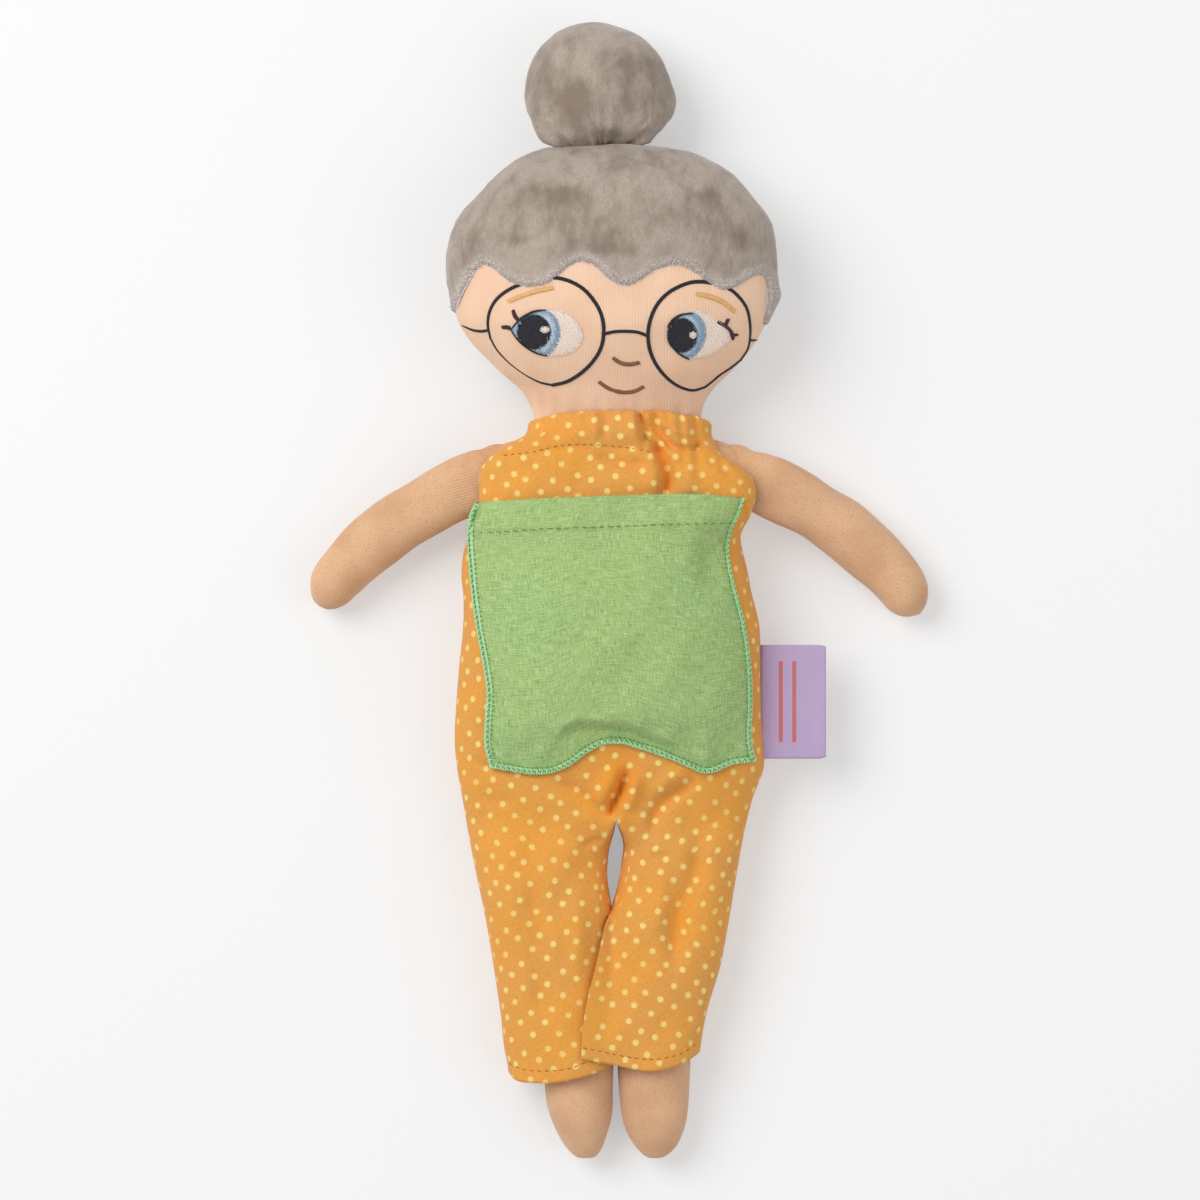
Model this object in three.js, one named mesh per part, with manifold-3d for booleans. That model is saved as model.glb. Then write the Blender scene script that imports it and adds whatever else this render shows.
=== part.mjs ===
// A stuffed cloth granny doll that lies on its back, in millimetres.
// X runs to the right of the photograph, Y from the feet to the bun, and Z up out of the face.
// The origin is under the middle of the doll, on the surface that it lies on.
import * as THREE from "three";
import { mergeVertices } from "three/addons/utils/BufferGeometryUtils.js";
import Module from "manifold-3d";

const wasm = await Module();
wasm.setup();

// Cloth and clearances
const SKIN_CLOTH = 1.0;
const SUIT_CLOTH = 1.0;
const PLUSH_CLOTH = 1.5;
const SEAM_GAP = 0.3;
const STUFFING_GAP = 0.4;
const CLOTH_GAP = 0.4;
const FLOOR_SINK = 0.5;
const FLAT_SEAM = 1.8;
const TRIM_LIFT = 0.3;
const TRIM_HEIGHT = 0.6;

// Head
const HEAD_X = -2.2;
const HEAD_BOTTOM_Y = 64;
const HEAD_TOP_Y = 162.5;
const HEAD_HALF_WIDTH = 60.5;
const HEAD_HALF_THICKNESS = 30;
const NECK_HALF_WIDTH = 30.5;
const NECK_HALF_THICKNESS = 15;
const NECK_Z = 22.8;
const HEAD_Z = HEAD_HALF_THICKNESS - FLOOR_SINK;

// Bun
const BUN_X = -7.2;
const BUN_HALF_WIDTH = 27.8;
const BUN_HALF_THICKNESS = 20;
const BUN_LENGTH = 45.4;
const BUN_BASE_HALF_WIDTH = 17;

// Neck: a flat tongue, round at its lower end where it tilts and across its top where the head nods
const TONGUE_HALF_WIDTH = 20;
const TONGUE_HALF_THICKNESS = 8.5;
const TILT_Y = 44;
const TILT_SWEEP = 16;

// Torso
const TORSO_TOP_Y = 50;
const TORSO_X = -3;
const TORSO_HALF_WIDTH = 47;
const TORSO_HALF_THICKNESS = 20.5;
const HIP_Y = -79.4;
const HIP_Z = 15;

// Arms
const SHOULDER_X = 51.4;
const SHOULDER_Y = 43;
const SHOULDER_Z = 22.4;
const ARM_HALF_WIDTH = 10.4;
const ARM_HALF_THICKNESS = 10.2;
const ARM_LENGTH = 90;
const ARM_INSET = 7;
const SEAM_RISE = 1.3;
const ARM_PIVOT = 8;
const ARM_SWING_UP = 40;
const ARM_SWING_DOWN = 25;

// Legs
const LEG_HALF_WIDTH = 12;
const LEG_HALF_THICKNESS = 11.8;
const LEG_LENGTH = 130.6;
const LEG_PIVOT = 12;
const LEG_SPLAY = 25;
const LIMB_GAP = 0.35;
const LEG_SPACE = 3.4;

// Jumpsuit
const SUIT_X = -4;
const SUIT_EASE = 10;
const SUIT_HALF_WIDTH = TORSO_HALF_WIDTH + SUIT_EASE;
const SUIT_HALF_THICKNESS = 22.6;
const SUIT_BOTTOM_Y = -62;
const SUIT_FOLDS = 6;
const SUIT_FOLD_DEPTH = 1.1;
const ARMHOLE_RADIUS = 12;
const ARMHOLE_CLEARANCE = 3.2;
const CROTCH_Y = -85;
const TROUSER_TOP_Y = -97;
const TROUSER_RISE = 12;
const TROUSER_HALF_THICKNESS = 15.8;
const TROUSER_PARTING_X = -1.2;
const TROUSER_FOLDS = 5;
const TROUSER_FOLD_DEPTH = 0.7;
const LEFT_HEM_Y = -176.3;
const RIGHT_HEM_Y = -182.2;

// Gathered neck casing and its elastic
const CASING_BOTTOM_Y = 48.6;
const CASING_TOP_Y = 66.5;
const CASING_X = -2.4;
const CASING_CLEARANCE = 1.9;
const CASING_FLARE = 4.2;
const CASING_WALL = 0.8;
const GATHERS = 16;
const GATHER_DEPTH = 0.6;
const ELASTIC_WIDTH = 6;
const ELASTIC_THICKNESS = 0.5;

// Pocket
const POCKET_TOP_Y = 33.6;
const POCKET_CORNER_DROP = 5.4;
const POCKET_LEFT_X = -50.5;
const POCKET_RIGHT_X = 48;
const POCKET_LIFT = 8;
const POCKET_ARCH = 6;
const POCKET_CLOTH = 1.0;
const EDGING_HALF_WIDTH = 0.8;

// Label sewn into the side seam
const LABEL_LENGTH = 42;
const LABEL_REACH = 23.6;
const LABEL_Y = -41;
const LABEL_CLOTH = 0.5;
const LABEL_FOLD_GAP = 0.5;
const LABEL_SEAM_GAP = 0.6;

// Face stitching, with places as (x, y) in the doll's own frame
const FRAME_HALF_WIDTH = 0.7;
const EYE_Y = 96;
const RIGHT_EYE_X = -27.5;
const LEFT_EYE_X = 28.5;
const EYE_HALF_WIDTH = 12.6;
const EYE_HALF_HEIGHT = 8.3;
const IRIS_RADIUS = 8.2;
const PUPIL_RADIUS = 5.6;
const GLINT_RADIUS = 1.3;
const INLAY_GAP = 0.3;
const LASH_HALF_WIDTH = 0.5;
const BROW_HALF_WIDTH = 0.85;
const NOSE_HALF_WIDTH = 0.8;
const TEMPLE_HALF_WIDTH = 0.56;

const COLOURS = {
  skin: new THREE.MeshStandardMaterial({ color: "#e8bd99", roughness: 0.95 }),
  hair: new THREE.MeshStandardMaterial({ color: "#a89889", roughness: 0.85 }),
  stuffing: new THREE.MeshStandardMaterial({ color: "#f4f2ec", roughness: 1 }),
  suit: new THREE.MeshStandardMaterial({ color: "#e9a650", roughness: 0.95 }),
  pocket: new THREE.MeshStandardMaterial({ color: "#9fbf74", roughness: 0.95 }),
  edging: new THREE.MeshStandardMaterial({ color: "#7ccf8c", roughness: 0.7 }),
  label: new THREE.MeshStandardMaterial({ color: "#bda5c5", roughness: 0.6 }),
  elastic: new THREE.MeshStandardMaterial({ color: "#f5f5f0", roughness: 0.8 }),
  black: new THREE.MeshStandardMaterial({ color: "#23242c", roughness: 0.7 }),
  white: new THREE.MeshStandardMaterial({ color: "#efe3dc", roughness: 0.8 }),
  blue: new THREE.MeshStandardMaterial({ color: "#9fbfd4", roughness: 0.7 }),
  maroon: new THREE.MeshStandardMaterial({ color: "#4a2529", roughness: 0.7 }),
  gold: new THREE.MeshStandardMaterial({ color: "#e8b877", roughness: 0.7 }),
  brown: new THREE.MeshStandardMaterial({ color: "#9c6a4c", roughness: 0.7 }),
};

const doll = new THREE.Group();

function addMesh(name, geometry, material) {
  const mesh = new THREE.Mesh(geometry, material);
  mesh.name = name;
  doll.add(mesh);
  return mesh;
}

// Geometry from vertex rows, with faces of no area dropped
function geometryOf(points, faces) {
  const soup = new THREE.BufferGeometry();
  soup.setAttribute("position", new THREE.Float32BufferAttribute(points.flatMap((p) => p.toArray()), 3));
  soup.setIndex(faces);
  const merged = mergeVertices(soup, 1e-3);
  const kept = [];
  const index = merged.index.array;
  for (let i = 0; i < index.length; i += 3) {
    const [a, b, c] = [index[i], index[i + 1], index[i + 2]];
    if (a !== b && b !== c && c !== a) kept.push(a, b, c);
  }
  merged.setIndex(kept);
  return merged;
}

function solidOf(geometry) {
  return new wasm.Manifold(
    new wasm.Mesh({
      numProp: 3,
      vertProperties: new Float32Array(geometry.attributes.position.array),
      triVerts: new Uint32Array(geometry.index.array),
    }),
  );
}

function geometryFrom(solid) {
  const mesh = solid.getMesh();
  const geometry = new THREE.BufferGeometry();
  geometry.setAttribute("position", new THREE.BufferAttribute(new Float32Array(mesh.vertProperties), 3));
  geometry.setIndex(new THREE.BufferAttribute(new Uint32Array(mesh.triVerts), 1));
  return geometry;
}

// A closed geometry from three.js as a solid, such as a cutter
function cutter(geometry) {
  const bare = geometry.clone();
  bare.deleteAttribute("normal");
  bare.deleteAttribute("uv");
  return solidOf(mergeVertices(bare, 1e-3));
}

// A sheet of cloth between two offsets of surface(u, v, offset). It is closed round v when wrapped.
function sheet(surface, { inner, outer, rows, columns, wrapped = false, flat = false }) {
  const points = [];
  const faces = [];
  const around = wrapped ? columns : columns + 1;
  for (const offset of [outer, inner]) {
    for (let i = 0; i <= rows; i++) {
      for (let j = 0; j < around; j++) {
        const p = surface(i / rows, j / columns, offset);
        if (flat) p.z = Math.max(p.z, outer - offset);
        points.push(p);
      }
    }
  }
  const layerSize = (rows + 1) * around;
  const at = (layer, i, j) => layer * layerSize + i * around + (j % around);
  const quad = (a, b, c, d) => faces.push(a, b, c, a, c, d);
  for (let i = 0; i < rows; i++) {
    for (let j = 0; j < columns; j++) {
      quad(at(0, i, j), at(0, i, j + 1), at(0, i + 1, j + 1), at(0, i + 1, j));
      quad(at(1, i, j), at(1, i + 1, j), at(1, i + 1, j + 1), at(1, i, j + 1));
    }
    if (!wrapped) {
      quad(at(0, i, 0), at(0, i + 1, 0), at(1, i + 1, 0), at(1, i, 0));
      quad(at(0, i + 1, columns), at(0, i, columns), at(1, i, columns), at(1, i + 1, columns));
    }
  }
  for (let j = 0; j < columns; j++) {
    quad(at(0, 0, j + 1), at(0, 0, j), at(1, 0, j), at(1, 0, j + 1));
    quad(at(0, rows, j), at(0, rows, j + 1), at(1, rows, j + 1), at(1, rows, j));
  }
  return facingOut(geometryOf(points, faces));
}

// A solid filled to one offset of surface(u, v, offset), which is closed round v, with a ring at each level
function filled(surface, { offset = 0, levels, columns, flat = false }) {
  const points = [];
  const faces = [];
  for (const u of levels) {
    for (let j = 0; j < columns; j++) {
      const p = surface(u, j / columns, offset);
      if (flat) p.z = Math.max(p.z, -offset);
      points.push(p);
    }
  }
  const last = levels.length - 1;
  const at = (i, j) => i * columns + (j % columns);
  for (let i = 0; i < last; i++) {
    for (let j = 0; j < columns; j++) {
      faces.push(at(i, j), at(i, j + 1), at(i + 1, j + 1), at(i, j), at(i + 1, j + 1), at(i + 1, j));
    }
  }
  for (const row of [0, last]) {
    const ring = points.slice(at(row, 0), at(row, 0) + columns);
    const middle = ring.reduce((sum, p) => sum.add(p), new THREE.Vector3()).divideScalar(columns);
    points.push(middle);
    for (let j = 0; j < columns; j++) {
      const edge = [at(row, j), at(row, j + 1)];
      if (row === 0) edge.reverse();
      faces.push(edge[0], edge[1], points.length - 1);
    }
  }
  return facingOut(geometryOf(points, faces));
}

// Every step-th row of a form that has so many rows, and always the last one
function rowLevels(rows, { step = 1, first = 0, last = rows } = {}) {
  const levels = [];
  for (let row = first; row < last; row += step) levels.push(row / rows);
  levels.push(last / rows);
  return levels;
}

// Turns the faces round when the solid's volume comes out negative
function facingOut(geometry) {
  if (signedVolume(geometry) > 0) return geometry;
  const index = geometry.index.array;
  for (let i = 0; i < index.length; i += 3) [index[i + 1], index[i + 2]] = [index[i + 2], index[i + 1]];
  return geometry;
}

function signedVolume(geometry) {
  const position = geometry.attributes.position;
  const index = geometry.index.array;
  const [a, b, c] = [new THREE.Vector3(), new THREE.Vector3(), new THREE.Vector3()];
  let volume = 0;
  for (let i = 0; i < index.length; i += 3) {
    a.fromBufferAttribute(position, index[i]);
    b.fromBufferAttribute(position, index[i + 1]);
    c.fromBufferAttribute(position, index[i + 2]);
    volume += a.dot(b.clone().cross(c)) / 6;
  }
  return volume;
}

// A stuffed form: oval rings on a spine. A profile row is [half width, distance along, half thickness].
class Form {
  constructor({ spine, profile, fullness = 2, fold = () => 0 }) {
    this.spine = new THREE.CatmullRomCurve3(spine.map((p) => new THREE.Vector3(...p)));
    this.length = this.spine.getLength();
    this.profile = new THREE.CatmullRomCurve3(profile.map((p) => new THREE.Vector3(...p)));
    this.fullness = fullness;
    this.fold = fold;
  }

  ring(u) {
    const p = this.profile.getPointAt(THREE.MathUtils.clamp(u, 0, 1));
    const share = p.y / this.length;
    const centre = this.spine.getPointAt(THREE.MathUtils.clamp(share, 0, 1));
    const along = this.spine.getTangentAt(THREE.MathUtils.clamp(share, 0, 1));
    const beyond = p.y - this.length * THREE.MathUtils.clamp(share, 0, 1);
    centre.addScaledVector(along, beyond);
    const across = new THREE.Vector3(along.y, -along.x, 0).normalize();
    return { centre, along, across, width: Math.max(p.x, 0), thickness: Math.max(p.z, 0) };
  }

  bare(u, v) {
    const { centre, across, width, thickness } = this.ring(u);
    const angle = 2 * Math.PI * v;
    const power = 2 / this.fullness;
    const c = Math.sign(Math.cos(angle)) * Math.abs(Math.cos(angle)) ** power;
    const s = Math.sign(Math.sin(angle)) * Math.abs(Math.sin(angle)) ** power;
    return centre.addScaledVector(across, width * c).add(new THREE.Vector3(0, 0, thickness * s));
  }

  // v runs once round the ring: 0 to 0.5 is the front, and 0.5 to 1 the back
  at(u, v, clothOffset = 0) {
    const point = this.bare(u, v);
    const offset = clothOffset + this.fold(u, v);
    if (offset === 0) return point;
    const { centre, along, width } = this.ring(u);
    if (width < 1e-3) return point.addScaledVector(along, u < 0.5 ? -offset : offset);
    const step = 1e-3;
    const down = this.bare(Math.min(u + step, 1), v).sub(this.bare(Math.max(u - step, 0), v));
    const round = this.bare(u, v + step).sub(this.bare(u, v - step));
    const normal = down.cross(round).normalize();
    if (normal.dot(point.clone().sub(centre)) < 0) normal.negate();
    return point.addScaledVector(normal, offset);
  }

  // The front surface over a place (x, y), for a form whose spine runs along Y
  over(x, y, offset = 0) {
    let [low, high] = [0, 1];
    const rising = this.ring(1).centre.y > this.ring(0).centre.y;
    for (let i = 0; i < 30; i++) {
      const middle = (low + high) / 2;
      if (this.ring(middle).centre.y < y === rising) low = middle;
      else high = middle;
    }
    const u = (low + high) / 2;
    const { centre, across, width } = this.ring(u);
    const share = THREE.MathUtils.clamp(((x - centre.x) * Math.sign(across.x)) / width, -1, 1);
    const angle = Math.acos(Math.sign(share) * Math.abs(share) ** (this.fullness / 2));
    return this.at(u, angle / (2 * Math.PI), offset);
  }
}

const shifted = (point, z) => point.add(new THREE.Vector3(0, 0, z));

// The front or back panel of a form's cover, half a seam gap away from the middle plane
function panel(form, side, { inner, outer, rows, columns, flat = false }) {
  const sign = side === "front" ? 1 : -1;
  const start = side === "front" ? 0 : 0.5;
  const surface = (u, v, offset) => {
    const p = form.at(u, start + v / 2, offset);
    const middle = form.ring(u).centre.z;
    p.z = sign * Math.max(sign * (p.z - middle), 0) + middle + (sign * SEAM_GAP) / 2;
    return p;
  };
  return sheet(surface, { inner, outer, rows, columns, flat });
}

// The filling of a form whose panels have so many rows and columns
function stuffing(form, { rows, columns, first = 0, last = rows, step = 2 }) {
  return filled((u, v, offset) => form.at(u, v, offset), {
    offset: -(SKIN_CLOTH + STUFFING_GAP),
    levels: rowLevels(rows, { step, first, last }),
    columns,
    flat: true,
  });
}

// The part of a solid from low to high along an axis, "x" or "y"
function between(solid, low, high, axis = "y") {
  const reach = 500;
  const slab = new THREE.BoxGeometry(reach, reach, reach);
  slab.scale(axis === "x" ? (high - low) / reach : 1, axis === "y" ? (high - low) / reach : 1, 1);
  const middle = (low + high) / 2;
  slab.translate(axis === "x" ? middle : 0, axis === "y" ? middle : 0, 0);
  return solid.intersect(cutter(slab));
}

// What lies above the surface that the doll rests on, so that it gets a flat there
function aboveFloor(solid) {
  const reach = 500;
  return solid.intersect(cutter(new THREE.BoxGeometry(reach, reach, reach).translate(0, 0, reach / 2)));
}

// The round edge of a flat seam that a piece folds about. It runs along "x" or "y" with its middle at place.
function foldEdge(place, length, axis) {
  const rod = new THREE.CylinderGeometry(FLAT_SEAM, FLAT_SEAM, length, 12);
  if (axis === "x") rod.rotateZ(Math.PI / 2);
  return cutter(rod.translate(...place));
}

// Head
const headForm = new Form({
  spine: [
    [HEAD_X, HEAD_BOTTOM_Y, NECK_Z],
    [HEAD_X, HEAD_BOTTOM_Y + 24, HEAD_Z - 1.5],
    [HEAD_X, HEAD_BOTTOM_Y + 50, HEAD_Z],
    [HEAD_X, HEAD_TOP_Y, HEAD_Z],
  ],
  profile: [
    [NECK_HALF_WIDTH, 0, NECK_HALF_THICKNESS],
    [34.6, 9.4, 18.5],
    [44, 18.3, 23],
    [52.7, 27.2, 26.5],
    [58.1, 36.2, 28.7],
    [HEAD_HALF_WIDTH, 50, HEAD_HALF_THICKNESS],
    [59.8, 63, HEAD_HALF_THICKNESS],
    [57.5, 72, 28.6],
    [51.5, 81, 25.5],
    [42, 89.5, 20],
    [27, 96, 11],
    [0, 99.5, 0],
  ],
  fullness: 2.3,
});
const HEAD_GRID = { rows: 14, columns: 12 };
const HEAD_SHELL = { inner: -SKIN_CLOTH, outer: 0, ...HEAD_GRID };
addMesh("face_panel", panel(headForm, "front", HEAD_SHELL), COLOURS.skin);
const headBack = aboveFloor(solidOf(panel(headForm, "back", HEAD_SHELL)));
addMesh("head_back_panel", geometryFrom(headBack), COLOURS.hair);
addMesh("head_stuffing", stuffing(headForm, { ...HEAD_GRID, step: 1 }), COLOURS.stuffing);

// The cloth of the head as it is faceted, grown by a lift
function headHull(lift) {
  const hull = filled((u, v, offset) => headForm.at(u, v, offset), {
    offset: lift, levels: rowLevels(HEAD_GRID.rows), columns: 2 * HEAD_GRID.columns,
  });
  return solidOf(hull.translate(0, 0, SEAM_GAP / 2));
}

// A layer on the front of the head, and an outline cut out of it
const headLayer = (low, high) => headHull(high).subtract(headHull(low));
const threadLayer = headLayer(TRIM_LIFT, TRIM_LIFT + TRIM_HEIGHT);

function cutOut(layer, places) {
  const shape = new THREE.Shape(places);
  const prism = new THREE.ExtrudeGeometry(shape, { depth: 2 * HEAD_HALF_THICKNESS, bevelEnabled: false });
  prism.translate(0, 0, HEAD_Z + SEAM_GAP / 2);
  return largest(layer.intersect(cutter(prism)));
}

function largest(solid) {
  return solid.decompose().sort((a, b) => b.volume() - a.volume())[0];
}

const places = (pairs) => pairs.map(([x, y]) => new THREE.Vector2(x, y));

// The scalloped hairline, from the doll's right to its left
const hairline = new THREE.SplineCurve(
  places([
    [-70, 100], [-58, 107], [-50, 120.5], [-43.5, 117], [-35.2, 112.6], [-27, 116],
    [-17.7, 121.4], [-8, 116.5], [1.5, 112.2], [11, 116], [20.7, 121.2], [29, 116.5],
    [37.3, 111], [45, 113], [52.1, 117.2], [57, 110], [66, 98],
  ]),
);
const hairOutline = [...hairline.getPoints(64), ...places([[66, 170], [-70, 170]])];
const hairLayer = headLayer(CLOTH_GAP, CLOTH_GAP + PLUSH_CLOTH);
addMesh("hair_front", geometryFrom(cutOut(hairLayer, hairOutline)), COLOURS.hair);

// Bun, sewn flat into the crown seam
const bunBase = HEAD_TOP_Y + CLOTH_GAP + PLUSH_CLOTH + FLAT_SEAM + SEAM_GAP;
const bunForm = new Form({
  spine: [
    [BUN_X, bunBase, HEAD_Z],
    [BUN_X, bunBase + BUN_LENGTH / 2, BUN_HALF_THICKNESS - FLOOR_SINK],
    [BUN_X, bunBase + BUN_LENGTH, BUN_HALF_THICKNESS - FLOOR_SINK],
  ],
  profile: [
    [BUN_BASE_HALF_WIDTH, 0, FLAT_SEAM],
    [22.5, 5, 8],
    [26.5, 12, 15.5],
    [BUN_HALF_WIDTH, 20, BUN_HALF_THICKNESS - 0.5],
    [26.5, 29, BUN_HALF_THICKNESS],
    [20.5, 37, 16],
    [11, 42, 9],
    [0, BUN_LENGTH, 0],
  ],
});
const BUN_GRID = { rows: 10, columns: 9 };
const bunShell = { inner: -SKIN_CLOTH, outer: 0, ...BUN_GRID };
const bunEdge = foldEdge([BUN_X, bunBase, HEAD_Z], 2 * BUN_BASE_HALF_WIDTH - FLAT_SEAM, "x");
const bunBack = aboveFloor(solidOf(panel(bunForm, "back", bunShell)).subtract(bunEdge));
const bunFront = solidOf(panel(bunForm, "front", bunShell)).add(bunEdge).subtract(bunBack);
addMesh("bun_front", geometryFrom(largest(bunFront)), COLOURS.hair);
addMesh("bun_back", geometryFrom(largest(bunBack)), COLOURS.hair);
addMesh("bun_stuffing", stuffing(bunForm, { ...BUN_GRID, first: 1 }), COLOURS.stuffing);

// Neck tongue, or the room that it needs when it tilts by so many degrees each way
const nodY = HEAD_BOTTOM_Y - SEAM_GAP - TONGUE_HALF_THICKNESS;
function tongueSolid(grow, tilt) {
  const front = new THREE.Shape();
  const half = TONGUE_HALF_WIDTH + grow;
  const lean = THREE.MathUtils.degToRad(tilt);
  const top = (half + (HEAD_BOTTOM_Y - TILT_Y) * Math.sin(lean)) / Math.cos(lean);
  front.moveTo(top, HEAD_BOTTOM_Y);
  front.lineTo(-top, HEAD_BOTTOM_Y);
  front.absarc(0, TILT_Y, half, Math.PI + lean, 2 * Math.PI - lean);
  const frontPrism = new THREE.ExtrudeGeometry(front, { depth: 80, bevelEnabled: false, curveSegments: 20 });
  frontPrism.translate(HEAD_X, 0, NECK_Z - 40);
  return cutter(frontPrism);
}
const side = new THREE.Shape();
side.moveTo(-TONGUE_HALF_THICKNESS, 0);
side.lineTo(TONGUE_HALF_THICKNESS, 0);
side.absarc(0, nodY, TONGUE_HALF_THICKNESS, 0, Math.PI);
const sidePrism = new THREE.ExtrudeGeometry(side, { depth: 80, bevelEnabled: false, curveSegments: 12 });
sidePrism.translate(0, 0, -40).rotateY(Math.PI / 2).translate(HEAD_X, 0, NECK_Z);
addMesh("neck", geometryFrom(tongueSolid(0, 0).intersect(cutter(sidePrism))), COLOURS.skin);

// Torso
const torsoForm = new Form({
  spine: [
    [-0.5, TORSO_TOP_Y, NECK_Z],
    [-1.5, 20, 21.6],
    [TORSO_X, -20, TORSO_HALF_THICKNESS + 1.6],
    [TORSO_X, -60, 17],
    [TORSO_X, HIP_Y + FLAT_SEAM + SEAM_GAP, HIP_Z],
  ],
  profile: [
    [30, 0, 14.5],
    [TORSO_HALF_WIDTH - 6, 5, 15],
    [TORSO_HALF_WIDTH - 0.5, 14, 16.2],
    [TORSO_HALF_WIDTH, 30, 19],
    [TORSO_HALF_WIDTH, 50, TORSO_HALF_THICKNESS],
    [TORSO_HALF_WIDTH - 0.5, 80, 19.5],
    [TORSO_HALF_WIDTH - 3, 103, 13],
    [TORSO_HALF_WIDTH - 8.5, 119, 6],
    [TORSO_HALF_WIDTH - 13, 127.6, FLAT_SEAM],
  ],
  fullness: 2.2,
});
const TORSO_GRID = { rows: 10, columns: 8 };
for (const face of ["front", "back"]) {
  const shell = { inner: -SKIN_CLOTH, outer: 0, ...TORSO_GRID };
  addMesh(`torso_${face}`, panel(torsoForm, face, shell), COLOURS.skin);
}
const torsoFilling = solidOf(stuffing(torsoForm, { ...TORSO_GRID, last: 9 }));
addMesh(
  "torso_stuffing",
  geometryFrom(torsoFilling.subtract(tongueSolid(LIMB_GAP, TILT_SWEEP))),
  COLOURS.stuffing,
);

// The profile share at a distance down the spine
function shareAt(form, distance) {
  let [low, high] = [0, 1];
  for (let i = 0; i < 30; i++) {
    const middle = (low + high) / 2;
    if (form.profile.getPointAt(middle).y < distance) low = middle;
    else high = middle;
  }
  return (low + high) / 2;
}

// What lies on the body's side of a limb's in-plane pivot, with a round end that the limb turns about.
// turns are the angles, in degrees, at which the body's side is seen from the limb as it swings.
function rootCutter(pivot, direction, radius, turns) {
  const reach = 60;
  let whole = cutter(new THREE.CylinderGeometry(radius, radius, reach, 28).rotateX(Math.PI / 2));
  for (const turn of turns) {
    const block = new THREE.BoxGeometry(2 * reach, 2 * reach, reach).translate(-reach, 0, 0);
    whole = whole.add(cutter(block.rotateZ(direction + THREE.MathUtils.degToRad(turn))));
  }
  return whole.translate([pivot.x, pivot.y, pivot.z]);
}

// A limb: a flat-sewn root, and a front panel, back panel and stuffing that turn about the root's round end.
// trim cuts the root at its seam and gives it the round edge that it folds about.
function addLimb(side, kind, form, { pivotDistance, halfWidth, swing, trim }) {
  const grid = { rows: 10, columns: 6 };
  const { centre, along } = form.ring(shareAt(form, pivotDistance));
  const direction = Math.atan2(along.y, along.x);
  const seenTurns = swing.map((angle) => -angle);
  const inside = rootCutter(centre, direction, halfWidth + LIMB_GAP, seenTurns);
  const rootSide = rootCutter(centre, direction, halfWidth, [0]);
  const whole = filled((u, v, offset) => form.at(u, v, offset), {
    levels: rowLevels(grid.rows), columns: 2 * grid.columns,
  });
  addMesh(`${side}_${kind}_root`, geometryFrom(trim(solidOf(whole).intersect(rootSide))), COLOURS.skin);
  for (const face of ["front", "back"]) {
    const shell = { inner: -SKIN_CLOTH, outer: 0, ...grid };
    const cover = aboveFloor(solidOf(panel(form, face, shell)).subtract(inside));
    addMesh(`${side}_${kind}_${face}`, geometryFrom(cover), COLOURS.skin);
  }
  const core = solidOf(stuffing(form, { ...grid, first: 1 }));
  addMesh(`${side}_${kind}_stuffing`, geometryFrom(core.subtract(inside)), COLOURS.stuffing);
}

// The shoulder seam lies just outside the torso's widest place next to the arm
const armEndZ = ARM_HALF_THICKNESS - FLOOR_SINK;
const seamHalfLength = ARM_HALF_WIDTH - 1;
const wholeTorso = filled((u, v, offset) => torsoForm.at(u, v, offset), {
  levels: rowLevels(TORSO_GRID.rows), columns: 2 * TORSO_GRID.columns,
});
const seamY = SHOULDER_Y + SEAM_RISE;
const besideArm = between(solidOf(wholeTorso), seamY - seamHalfLength, seamY + seamHalfLength);
const torsoReach = { right: -besideArm.boundingBox().min[0], left: besideArm.boundingBox().max[0] };
for (const [side, sign] of [["right", -1], ["left", 1]]) {
  const armForm = new Form({
    spine: [
      [sign * (SHOULDER_X - ARM_INSET), SHOULDER_Y + 2, SHOULDER_Z],
      [sign * SHOULDER_X, SHOULDER_Y, SHOULDER_Z],
      [sign * (SHOULDER_X + 9), SHOULDER_Y - 3.5, SHOULDER_Z - 2.5],
      [sign * (SHOULDER_X + 21), SHOULDER_Y - 10.5, 14],
      [sign * (SHOULDER_X + 35), SHOULDER_Y - 20.5, 11],
      [sign * (SHOULDER_X + 47), SHOULDER_Y - 33, armEndZ],
      [sign * (SHOULDER_X + 55), SHOULDER_Y - 44.5, armEndZ],
      [sign * (SHOULDER_X + 59.5), SHOULDER_Y - 52.5, armEndZ],
    ],
    profile: [
      [ARM_HALF_WIDTH, 0, FLAT_SEAM],
      [ARM_HALF_WIDTH, ARM_INSET, FLAT_SEAM + 0.6],
      [ARM_HALF_WIDTH, ARM_INSET + 8, 6],
      [ARM_HALF_WIDTH, ARM_INSET + 20, ARM_HALF_THICKNESS],
      [ARM_HALF_WIDTH, ARM_LENGTH - 38, ARM_HALF_THICKNESS],
      [10, ARM_LENGTH - 18, ARM_HALF_THICKNESS],
      [9.3, ARM_LENGTH - 10, 9.6],
      [6.6, ARM_LENGTH - 3.5, 6.8],
      [0, ARM_LENGTH, 0],
    ],
  });
  const seam = sign * (torsoReach[side] + SEAM_GAP + FLAT_SEAM);
  const edge = foldEdge([seam, seamY, SHOULDER_Z], 2 * seamHalfLength, "y");
  const span = [seam, seam + sign * 2 * SHOULDER_X].sort((a, b) => a - b);
  addLimb(side, "arm", armForm, {
    pivotDistance: ARM_INSET + ARM_PIVOT,
    halfWidth: ARM_HALF_WIDTH,
    swing: [sign * ARM_SWING_UP, -sign * ARM_SWING_DOWN],
    trim: (root) => between(root, ...span, "x").add(edge),
  });
}

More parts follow.
